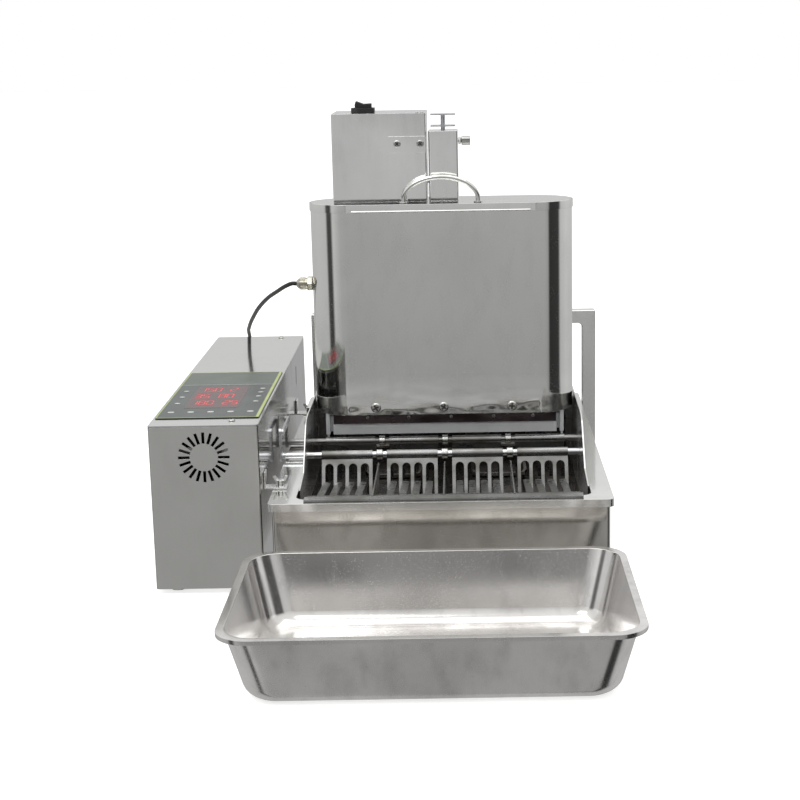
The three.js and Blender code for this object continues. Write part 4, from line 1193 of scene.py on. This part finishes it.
# ---------------------------------------------------------------- plunger drive
@dataclass
class PlungerDrive:
    """The motor box, drive column, crank, plunger bar, switch and adjuster.

    Attributes:
        box_round: the radius of the motor box's folds.
        column_round: the radius of the column's edges.
        bracket_screws: where the bracket's screws sit, from the motor box's right edge.
    """

    box_round: float = 0.9 * MM
    column_round: float = 1.6 * MM
    bracket_screws: tuple[float, ...] = (-7.5 * MM, -36 * MM)
    screws: CrossScrew = field(default_factory=lambda: CrossScrew(4.6 * MM, 2.0 * MM, 1.7 * MM))
    small: CrossScrew = field(default_factory=lambda: CrossScrew(1.9 * MM, 1.2 * MM, 0.6 * MM))

    def build(self) -> None:
        """Builds and dresses the drive."""
        # Painted light: the motor box and drive column get the lighter steel, so that they look brightly
        # lit.
        Bench.skin("motor_box", "chassis", Finish.BRIGHT, "mirror_steel", self.box_round)
        Bench.skin("drive_column", "chassis", Finish.BRIGHT, "aluminium_alloy", self.column_round)
        Bench.skin("plunger_rack", "plungers", Finish.ALLOY, "aluminium_alloy", 0.4 * MM)
        Bench.skin("crank_disc", "crank", Finish.BRUSHED, "satin_steel", 0.5 * MM)
        Bench.skin("connecting_rod", "conrod", Finish.ALLOY, "aluminium_alloy", 0.4 * MM)
        Bench.skin("dosing_motor", "chassis", Finish.MOTOR, "motor_casing", 1.0 * MM)
        Bench.skin("adjusting_screw", "adjuster", Finish.SCREW, "satin_steel", 0.8 * MM)
        Bench.skin("switch_bezel", "chassis", Finish.BLACK, "black_plastic", 0.7 * MM)
        Bench.skin("switch_rocker", "rocker", Finish.BLACK, "black_plastic", 0.9 * MM)
        self.lock_nut()
        self.fixings()

    def lock_nut(self) -> None:
        """Builds the hexagon nut that locks the adjuster against the column."""
        column = Extent.of("drive_column")
        knob = Extent.of("adjusting_screw")
        x = column.high.x + 0.4 * MM
        nut = Bench.bar(
            "adjuster_nut", (x, knob.middle.y, knob.middle.z),
            (x + 2.6 * MM, knob.middle.y, knob.middle.z), 5.2 * MM, 6,
        )
        with Bench.editing(nut):
            Bench.choose(nut, Kind.FACE, lambda at, normal: normal.x > 0.9)
            bpy.ops.mesh.inset(thickness=0.9 * MM, depth=0.4 * MM)
        Bench.soften(nut, 0.3 * MM)
        Bench.hand_in(nut, "adjuster", Finish.SCREW, "satin_steel")

    def fixings(self) -> None:
        """Drives the screws of the bracket and of the motor box's top."""
        box = Extent.of("motor_box")
        level = box.high.z - 37 * MM
        for number, x in enumerate(self.bracket_screws, 1):
            self.screws.drive(
                f"bracket_screw_{number}", (box.high.x + x, box.low.y, level), (0, -1, 0),
                "chassis", 0.75,
            )
        for number, x in enumerate((-5 * MM, -11 * MM), 1):
            self.small.drive(
                f"box_screw_{number}", (box.high.x + x, box.low.y + 14 * MM, box.high.z),
                (0, 0, 1), "chassis",
            )
        self.screws.clear_away()
        self.small.clear_away()


# ---------------------------------------------------------------- control box
SEGMENTS = {
    "0": "abcdef", "1": "bc", "2": "abged", "3": "abgcd", "5": "afgcd", "8": "abcdefg",
}


@dataclass
class ControlBox:
    """The control box with its panel, display, keys, fan and inlet.

    Attributes:
        title_start: where the title strip begins, from the panel's front edge.
        window: the display window's left, right, front and back, from the panel's corner.
        rows: the numbers shown, and how far each row is from the panel's front edge.
        digit: the width and height of a digit.
    """

    title_start: float = 181 * MM
    window: tuple[float, ...] = (25 * MM, 88 * MM, 50 * MM, 170 * MM)
    rows: tuple[tuple[str, float], ...] = (("180 25", 68 * MM), ("35 80", 104 * MM), ("150 2", 140 * MM))
    digit: tuple[float, float] = (7 * MM, 20 * MM)
    left_marks: tuple[float, ...] = (75 * MM, 110 * MM, 143 * MM)
    right_marks: tuple[float, ...] = (82 * MM, 110 * MM, 133 * MM, 154 * MM)
    print_height: float = 0.12 * MM
    screws: CrossScrew = field(default_factory=lambda: CrossScrew(4.2 * MM, 2.2 * MM, 1.5 * MM))

    def build(self) -> None:
        """Builds and dresses the control box."""
        case = Bench.merged("control_case", 0.9 * MM)
        first_slot(case, Finish.FRONT)
        # Painted shade: the case's left and right faces get the dark side steel.
        Bench.paint(case, Finish.SIDE, lambda at, normal: abs(normal.x) > 0.7)
        Bench.hand_in(case, "chassis", Finish.FRONT, "satin_steel", ["control_case"])
        Bench.skin("control_cover", "chassis", Finish.COVER, "satin_steel", 0.45 * MM)
        Bench.skin("control_panel", "chassis", Finish.FILM, "panel_film", 0.2 * MM)
        for number in range(1, 6):
            Bench.skin(f"panel_key_{number}", f"key_{number}", Finish.PALE, "key_film", 0.25 * MM)
        panel = Extent.of("control_panel")
        self.title(panel)
        self.border(panel)
        self.display(panel)
        self.marks(panel)
        Bench.skin("fan_rotor", "fan", Finish.BLACK, "black_plastic", 0.3 * MM)
        Bench.skin("paddle_motor", "chassis", Finish.MOTOR, "motor_casing", 1.0 * MM)
        Bench.skin("power_inlet", "chassis", Finish.BLACK, "black_plastic", 0.8 * MM)
        self.inlet_pins()
        cover = Extent.of("control_cover")
        for number, (x, y) in enumerate(((30, 21), (93, 543)), 1):
            x_place = cover.high.x - 32 * MM if number == 1 else cover.low.x + x * MM
            self.screws.drive(
                f"cover_screw_{number}", (x_place, cover.low.y + y * MM, cover.high.z), (0, 0, 1),
                "chassis", 0.4 * number,
            )
        self.screws.clear_away()

    def sheet(self, name: str, left: float, right: float, front: float, back: float,
              base: float, finish: Finish, round_by: float = 1.2 * MM) -> Piece:
        """Lays a thin printed patch with round corners on the panel."""
        patch = Bench.block(name, (left, front, base), (right, back, base + self.print_height))
        with Bench.editing(patch, Kind.EDGE):
            Bench.choose(patch, Kind.EDGE, lambda at, way: abs(way.z) > 0.9)
            bpy.ops.mesh.bevel(offset=round_by, segments=4, affect="EDGES")
        return Bench.hand_in(patch, "chassis", finish, "panel_film")

    def title(self, panel: Extent) -> None:
        """Lays the paler title strip and the line in front of it."""
        self.sheet(
            "title_strip", panel.low.x + 3 * MM, panel.high.x - 4.4 * MM,
            panel.low.y + self.title_start + 1.6 * MM, panel.high.y - 3 * MM, panel.high.z,
            Finish.TITLE,
        )
        self.sheet(
            "title_line", panel.low.x + 2 * MM, panel.high.x - 4 * MM,
            panel.low.y + self.title_start - 0.7 * MM, panel.low.y + self.title_start + 0.7 * MM,
            panel.high.z, Finish.PALE, 0.3 * MM,
        )

    def border(self, panel: Extent) -> None:
        """Lays the yellow-green border, wide on its right side."""
        edge = 0.6 * MM
        ring = Bench.block(
            "panel_border", (panel.low.x + edge, panel.low.y + edge, panel.high.z),
            (panel.high.x - edge, panel.high.y - edge, panel.high.z + self.print_height),
        )
        inner = 1.2 * MM
        with Bench.editing(ring):
            Bench.choose(ring, Kind.FACE, lambda at, normal: abs(normal.z) > 0.9)
            bpy.ops.mesh.inset(thickness=inner)
            bpy.ops.mesh.bridge_edge_loops()
            limit = panel.high.x - edge - inner
            Bench.choose(
                ring, Kind.VERT,
                lambda at, normal: abs(at.x - limit) < 0.1 * MM,
            )
            bpy.ops.transform.translate(value=(-2.2 * MM, 0, 0))
        Bench.hand_in(ring, "chassis", Finish.TRIM, "panel_film")

    def display(self, panel: Extent) -> None:
        """Lays the dark window and the red digits in it."""
        left, right, front, back = self.window
        corner = panel.low
        self.sheet(
            "display_window", corner.x + left, corner.x + right, corner.y + front,
            corner.y + back, panel.high.z, Finish.WINDOW,
        )
        base = panel.high.z + self.print_height
        width = self.digit[0]
        segment = self.segment()
        strokes = []
        for text, row in self.rows:
            for place, character in enumerate(text):
                x = corner.x + left + (4 * MM) + place * (width + 2.6 * MM)
                for stroke in SEGMENTS.get(character, ""):
                    strokes.append(self.stroke(segment, stroke, x, corner.y + row, base))
        bpy.data.objects.remove(segment)
        digits = Bench.join("display_digits", strokes)
        Bench.hand_in(digits, "chassis", Finish.DIGIT, "panel_film")

    def segment(self) -> Piece:
        """Models one segment along X, pointed at both ends."""
        length = self.digit[0]
        bar = Bench.block("segment", (-length / 2, -0.8 * MM, 0), (length / 2, 0.8 * MM, 0.1 * MM))
        with Bench.editing(bar, Kind.EDGE):
            Bench.choose(bar, Kind.EDGE, lambda at, way: abs(way.z) > 0.9)
            bpy.ops.mesh.bevel(offset=0.7 * MM, segments=1, affect="EDGES")
        return bar

    def stroke(self, segment: Piece, letter: str, x: float, y: float, z: float) -> Piece:
        """Copies the segment to its place in a digit.

        Args:
            segment: the modelled segment.
            letter: the segment's usual letter, a at the top and g in the middle.
            x: the digit's left side.
            y: the digit's near side.
            z: the height that it lies at.

        Returns:
            The copy.
        """
        width, height = self.digit
        centres = {
            "a": (width / 2, height), "g": (width / 2, height / 2), "d": (width / 2, 0.0),
            "f": (0.0, height * 0.75), "b": (width, height * 0.75),
            "e": (0.0, height * 0.25), "c": (width, height * 0.25),
        }
        across, up = centres[letter]
        move = Matrix.Translation((x + across, y + up, z))
        if letter in "fbec":
            move = move @ Matrix.Rotation(math.pi / 2, 4, "Z") @ Matrix.Diagonal((1.25, 1, 1, 1))
        return Bench.copy(segment, f"stroke_{letter}", move)

    def marks(self, panel: Extent) -> None:
        """Puts the small pale lamps in a column at each side of the display."""
        first, last = Extent.of("panel_key_1").middle, Extent.of("panel_key_5").middle
        lamp = Bench.bar("lamp", (0, 0, 0), (0, 0, 0.5 * MM), 2.4 * MM, 24)
        with Bench.editing(lamp):
            Bench.choose(lamp, Kind.FACE, lambda at, normal: normal.z > 0.9)
            bpy.ops.mesh.inset(thickness=0.7 * MM, depth=0.15 * MM)
            bpy.ops.mesh.select_all(action="SELECT")
            bpy.ops.transform.resize(value=(1.35, 1, 1), center_override=(0, 0, 0))
        for name, x, column in (
            ("left", first.x, self.left_marks), ("right", last.x, self.right_marks)
        ):
            for number, y in enumerate(column, 1):
                copy = Bench.copy(
                    lamp, f"lamp_{name}_{number}",
                    Matrix.Translation((x, panel.low.y + y, panel.high.z)),
                )
                Bench.hand_in(copy, "chassis", Finish.PALE, "key_film")
        bpy.data.objects.remove(lamp)

    def inlet_pins(self) -> None:
        """Builds the three pins in the mains inlet."""
        inlet = Extent.of("power_inlet")
        middle = inlet.middle
        pin = Bench.block("pin", (-1 * MM, -3 * MM, -2 * MM), (1 * MM, 3 * MM, 2 * MM))
        Bench.soften(pin, 0.5 * MM)
        for number, (x, z) in enumerate(((-7, -3), (7, -3), (0, 3)), 1):
            copy = Bench.copy(
                pin, f"inlet_pin_{number}",
                Matrix.Translation((middle.x + x * MM, inlet.low.y + 5.2 * MM, middle.z + z * MM)),
            )
            Bench.hand_in(copy, "chassis", Finish.BRASS, "nickel_brass")
        bpy.data.objects.remove(pin)


@dataclass
class MotorLead:
    """The black lead from the hopper's gland into the back of the control box.

    Attributes:
        radius: the lead's radius.
        samples: how many short steps its line is drawn in, for each chosen point.
        shift: from the machine's making-up coordinates to the frame, in millimetres.
    """

    radius: float = 2.7 * MM
    samples: int = 8
    shift: tuple[float, float] = (60.5, -146.15)
    route: tuple[tuple[float, float, float], ...] = (
        (-184.6, 301, 317), (-191.5, 301, 317), (-202, 311, 311.5), (-214, 330, 302.5),
        (-226, 352, 293), (-238, 378, 281), (-249.5, 408, 267), (-259.5, 440, 252),
        (-268.2, 474, 238), (-274.8, 508, 226), (-280.4, 542, 217.2), (-284.6, 574, 208.8),
        (-287.8, 604, 197.6), (-288.8, 628, 182), (-288.5, 638, 170), (-289, 641, 158),
        (-289, 638, 145), (-289, 628, 136), (-289, 617, 132), (-289, 609.6, 132),
    )

    def line(self) -> list[Vector]:
        """A smooth line through the route's points, in metres."""
        points = [
            Vector((x + self.shift[0], y + self.shift[1], z)) * MM for x, y, z in self.route
        ]
        ends = [points[0] * 2 - points[1], *points, points[-1] * 2 - points[-2]]
        smooth = []
        for before, start, end, after in zip(ends, ends[1:], ends[2:], ends[3:]):
            for step in range(self.samples):
                t = step / self.samples
                smooth.append(0.5 * (
                    2 * start + (end - before) * t
                    + (2 * before - 5 * start + 4 * end - after) * t ** 2
                    + (3 * start - before - 3 * end + after) * t ** 3
                ))
        return [*smooth, points[-1]]

    def build(self) -> None:
        """Builds and dresses the lead and both glands."""
        line = self.line()
        lead = Bench.tube("lead_sheath", line, self.radius, 4)
        Bench.hand_in(lead, "chassis", Finish.SHEATH, "black_plastic", ["motor_lead"], 60)
        length = sum((b - a).length for a, b in zip(line, line[1:]))
        self.gland("hopper_gland", Vector((-1, 0, 0)))
        self.gland("control_gland", Vector((0, 1, 0)))

    def gland(self, node: str, way: Vector) -> None:
        """Builds a cable gland: a hexagon, a threaded neck and a fluted dome nut.

        Args:
            node: the CAD node that it stands for.
            way: the way it points.
        """
        extent = Extent.of(node)
        axis = 0 if abs(way.x) > 0.5 else 1

        def grip(_: Vector, normal: Vector) -> bool:
            """Whether a face of the dome nut lies in one of its six flutes."""
            across = (normal[i] for i in range(3) if i != axis)
            step = int((math.atan2(*across) + math.pi) * 18 / math.pi)
            return abs(normal.dot(way)) < 0.3 and step % 6 < 2

        seat = extent.middle.copy()
        seat[axis] = extent.low[axis] if way[axis] > 0 else extent.high[axis]
        length = extent.size[axis]
        at = [seat + way * (length * share) for share in (0, 0.33, 0.45, 0.8, 1)]
        hexagon = Bench.bar(f"{node}_hexagon", at[0], at[1], 9.8 * MM, 6)
        Bench.soften(hexagon, 0.9 * MM)
        neck = Bench.bar(f"{node}_neck", at[1], at[2], 7.4 * MM, 40)
        dome = Bench.bar(f"{node}_dome", at[2], at[3], 8 * MM, 36)
        with Bench.editing(dome):
            Bench.choose(dome, Kind.FACE, grip)
            bpy.ops.mesh.inset(thickness=0.3 * MM, depth=-0.5 * MM, use_individual=True)
        Bench.soften(dome, 0.35 * MM)
        tip = Bench.bar(f"{node}_tip", at[3], at[4], 7.4 * MM, 40, 4.6 * MM)
        Bench.soften(tip, 0.5 * MM)
        gland = Bench.join(f"{node}_body", [hexagon, neck, dome, tip])
        Bench.hand_in(gland, "chassis", Finish.BRASS, "nickel_brass", [node])
        seal = Bench.bar(
            f"{node}_seal", at[4] - way * 0.6 * MM, at[4] + way * 0.2 * MM, 4.2 * MM, 32
        )
        Bench.soften(seal, 0.3 * MM)
        Bench.hand_in(seal, "chassis", Finish.BLACK, "black_plastic")


# ---------------------------------------------------------------- frame, straps and tray
@dataclass
class Frames:
    """The rear frame and the two straps that hold the control box."""

    def build(self) -> None:
        """Builds and dresses the frame and straps."""
        Bench.skin("rear_frame", "chassis", Finish.PLATE, "satin_steel", 1.4 * MM)
        for side in ("front", "rear"):
            Bench.skin(f"strap_{side}", "chassis", Finish.PLATE, "satin_steel", 0.35 * MM)


@dataclass
class CollectingTray:
    """The pressed tray that stands loose in front of the tank.

    Attributes:
        wall: the thickness of its sheet.
        rim: how wide its rim is.
        lip: how far the rim turns down.
        corner: the radius of its corners, at the top of the wall.
        floor_round: the radius between its floor and its walls.
        taper: how far each wall leans in, from the rim to the floor.
    """

    wall: float = 1.2 * MM
    rim: float = 6 * MM
    lip: float = 3.5 * MM
    corner: float = 31 * MM
    floor_round: float = 15 * MM
    taper: float = 18 * MM

    def build(self) -> None:
        """Builds and dresses the tray."""
        whole = Extent.of("collecting_tray")
        low = Vector((whole.low.x + self.rim, whole.low.y + self.rim, whole.low.z))
        high = Vector((whole.high.x - self.rim, whole.high.y - self.rim, whole.high.z))
        tray = Bench.block("tray_pan", low, high)
        size = high - low
        middle = whole.middle
        with Bench.editing(tray):
            Bench.choose(tray, Kind.FACE, lambda at, normal: normal.z < -0.9)
            bpy.ops.transform.resize(
                value=(1 - 2 * self.taper / size.x, 1 - 2 * self.taper / size.y, 1),
                center_override=(middle.x, middle.y, low.z),
            )
            Bench.choose(tray, Kind.FACE, lambda at, normal: normal.z > 0.9)
            bpy.ops.mesh.delete(type="FACE")
            Bench.choose(tray, Kind.EDGE, lambda at, way: abs(way.z) > 0.5)
            bpy.ops.mesh.bevel(offset=self.corner, segments=12, affect="EDGES")
            Bench.choose(tray, Kind.EDGE, lambda at, way: at.z < low.z + 1e-4)
            bpy.ops.mesh.bevel(offset=self.floor_round, segments=6, affect="EDGES")
            Bench.choose(tray, Kind.EDGE, lambda at, way: at.z > high.z - 1e-4)
            for out in (0.25, 0.75):
                bpy.ops.mesh.extrude_edges_move()
                self.spread(size, middle, self.rim * out, high.z)
                size = size + Vector((2, 2, 0)) * (self.rim * out)
            bpy.ops.mesh.extrude_edges_move(TRANSFORM_OT_translate={"value": (0, 0, -self.lip)})
        Bench.modify(tray, "SOLIDIFY", thickness=self.wall, offset=-1, use_even_offset=True)
        Bench.soften(tray, 0.5 * MM, 2, 40)
        Bench.hand_in(tray, "tray", Finish.TRAY, "satin_steel", ["collecting_tray"], 40)

    def spread(self, size: Vector, middle: Vector, by: float, level: float) -> None:
        """Widens the selected loop by a distance on every side."""
        bpy.ops.transform.resize(
            value=(1 + 2 * by / size.x, 1 + 2 * by / size.y, 1),
            center_override=(middle.x, middle.y, level),
        )


# ---------------------------------------------------------------- studio
@dataclass
class Studio:
    """The floor, the soft lights and the camera.

    Attributes:
        eye: where the camera stands.
        pitch: how far it looks down, in degrees.
        yaw: how far it looks to the right, in degrees.
        roll: how far it is turned about its own line of sight, in degrees.
        lens: its focal length, in millimetres.
        shift: the shift of its lens.
        floor_glow: how strongly the floor lights itself.
        bands: the greys round the horizon, from behind, through left, front and right.
        heights: the greys overhead, from the horizon up.
        rises: how much brighter or darker each height is; 0.5 is the horizon.
        patch: how dark it is straight ahead, for each height; 0.5 is the horizon.
    """

    eye: tuple[float, float, float] = (0.0844, -1.8797, 0.6161)
    pitch: float = 12.4
    yaw: float = 0.1
    roll: float = -0.9
    lens: float = 72.9
    shift: tuple[float, float] = (-0.0826, -0.006)
    floor_glow: float = 0.62
    bands: tuple[tuple[float, float], ...] = (
        (0.0, 0.46), (0.2, 0.52), (0.30, 0.50), (0.318, 0.06), (0.350, 0.05), (0.368, 0.55),
        (0.43, 0.40), (0.50, 0.37), (0.585, 0.37), (0.61, 0.32), (0.624, 0.03), (0.71, 0.04),
        (0.732, 0.5), (0.80, 0.58), (1.0, 0.46),
    )
    heights: tuple[tuple[float, float], ...] = ((0.5, 0.5), (0.7, 0.85), (1.0, 1.0))
    rises: tuple[tuple[float, float], ...] = (
        (0.0, 1.05), (0.15, 0.9), (0.29, 1.0), (0.38, 1.15), (0.44, 1.35), (0.55, 1.3),
        (0.72, 1.5), (0.8, 2.0),
    )
    patch: tuple[tuple[float, float], ...] = (
        (0.0, 0.0), (0.46, 0.0), (0.53, 0.9), (0.64, 0.85), (0.7, 0.0)
    )

    def build(self) -> None:
        """Sets up the studio."""
        self.camera()
        self.floor()
        self.room()
        self.lamp("key", (-0.7, -1.5, 2.3), (0.1, 0.0, 0.2), (1.2, 0.8), 9)
        self.lamp("top", (0.05, 0.05, 2.5), (0.05, 0.05, 0.2), (2.4, 1.6), 15)

    def camera(self) -> None:
        """Puts the camera in its place."""
        data = bpy.data.cameras.new("camera")
        data.lens = self.lens
        data.sensor_width = 36
        data.shift_x, data.shift_y = self.shift
        data.clip_end = 50
        camera = bpy.data.objects.new("camera", data)
        bpy.context.scene.collection.objects.link(camera)
        camera.matrix_world = (
            Matrix.Translation(self.eye)
            @ Matrix.Rotation(math.radians(-self.yaw), 4, "Z")
            @ Matrix.Rotation(math.radians(90 - self.pitch), 4, "X")
            @ Matrix.Rotation(math.radians(self.roll), 4, "Z")
        )
        bpy.context.scene.camera = camera
        bpy.context.scene.view_settings.view_transform = "Standard"

    def floor(self) -> None:
        """Lays the pale floor, which lights itself a little so that it stays pale far away."""
        bpy.ops.object.select_all(action="DESELECT")
        bpy.ops.mesh.primitive_plane_add(size=40, location=(0, 0, -0.0005))
        floor = bpy.context.active_object
        floor.name = "floor"
        recipe = Recipe("pale_floor")
        recipe.dress(
            Base_Color=(0.9, 0.9, 0.89, 1), Roughness=0.8, Emission_Color=(1, 1, 0.99, 1),
            Emission_Strength=self.floor_glow,
        )
        floor.data.materials.append(recipe.material)
        floor.visible_glossy = False

    def room(self) -> None:
        """Fills the room with light, and gives the steel bright and dark bands to reflect."""
        world = bpy.data.worlds.new("room")
        bpy.context.scene.world = world
        world.use_nodes = True
        tree = NodeTree(world.node_tree)
        way = tree.node("ShaderNodeTexCoord").outputs["Generated"]
        axes = tree.node("ShaderNodeSeparateXYZ", {}, {0: way}).outputs
        right, away, rise = (Signal(tree, axis) for axis in axes)
        turn = right.angle_over(away * -1.0)
        bands = self.greys(tree, self.bands, turn * (0.5 / math.pi) + 0.5)
        around = bands * self.greys(tree, self.rises, rise + 0.5)
        patch = ((away * -1.6) * self.greys(tree, self.patch, rise + 0.5)).clamped()
        high = ((rise - 0.3) * 4.0).clamped()
        shade = self.mixed(tree, patch, around, (0.03, 0.03, 0.03, 1))
        above = self.greys(tree, self.heights, rise * 0.5 + 0.5)
        lit = tree.tree.nodes["Background"]
        tree.feed(lit.inputs["Color"], self.mixed(tree, high, shade, above))
        seen = tree.node("ShaderNodeBackground", {}, {"Color": (1, 1, 1, 1)})
        path = tree.node("ShaderNodeLightPath")
        both = tree.node(
            "ShaderNodeMixShader", {},
            {0: path.outputs["Is Camera Ray"], 1: lit.outputs[0], 2: seen.outputs[0]},
        )
        tree.feed(tree.tree.nodes["World Output"].inputs["Surface"], both.outputs[0])

    @staticmethod
    def greys(tree: NodeTree, stops: Sequence[tuple[float, float]], value: Signal) -> Signal:
        """Turns a value into greys.

        Args:
            tree: the tree that the ramp is added to.
            stops: each position and its grey.
            value: where on the ramp to read.

        Returns:
            The grey, a little warmer than neutral.
        """
        colours = [(position, (grey, grey, grey * 0.985)) for position, grey in stops]
        ramp = tree.node("ShaderNodeValToRGB", {"stops": colours}, {"Fac": value})
        return Signal(tree, ramp.outputs["Color"])

    @staticmethod
    def mixed(tree: NodeTree, mask: Signal, first: Any, second: Any) -> bpy.types.NodeSocket:
        """Mixes two colours.

        Args:
            tree: the tree that the node is added to.
            mask: how much of the second there is, from 0 to 1.
            first: the first colour.
            second: the second colour.

        Returns:
            The mixed colour.
        """
        mix = tree.node(
            "ShaderNodeMix", {"data_type": "RGBA"}, {"Factor": mask, "A": first, "B": second}
        )
        return mix.outputs["Result"]

    def lamp(self, name: str, place: Sequence[float], aim: Sequence[float],
             size: Sequence[float], power: float) -> None:
        """Hangs a soft rectangular light.

        Args:
            name: the light's name.
            place: where it hangs.
            aim: the point that it faces.
            size: its width and height.
            power: its power in watts.
        """
        data = bpy.data.lights.new(name, "AREA")
        data.shape = "RECTANGLE"
        data.size, data.size_y = size
        data.energy = power
        lamp = bpy.data.objects.new(name, data)
        bpy.context.scene.collection.objects.link(lamp)
        lamp.location = place
        lamp.rotation_euler = (Vector(aim) - Vector(place)).to_track_quat("-Z", "Y").to_euler()
        lamp.visible_camera = False


def main() -> None:
    """Builds the studio and every sub-assembly in order."""
    logging.basicConfig(level=logging.INFO, format="%(message)s")
    Studio().build()
    for assembly in (
        MotorLead(), OilTank(), Paddles(), DosingBlock(), Hopper(), PlungerDrive(), ControlBox(),
        Frames(), CollectingTray(),
    ):
        LOG.info("building %s", type(assembly).__name__)
        assembly.build()


if __name__ == "__main__":
    main()
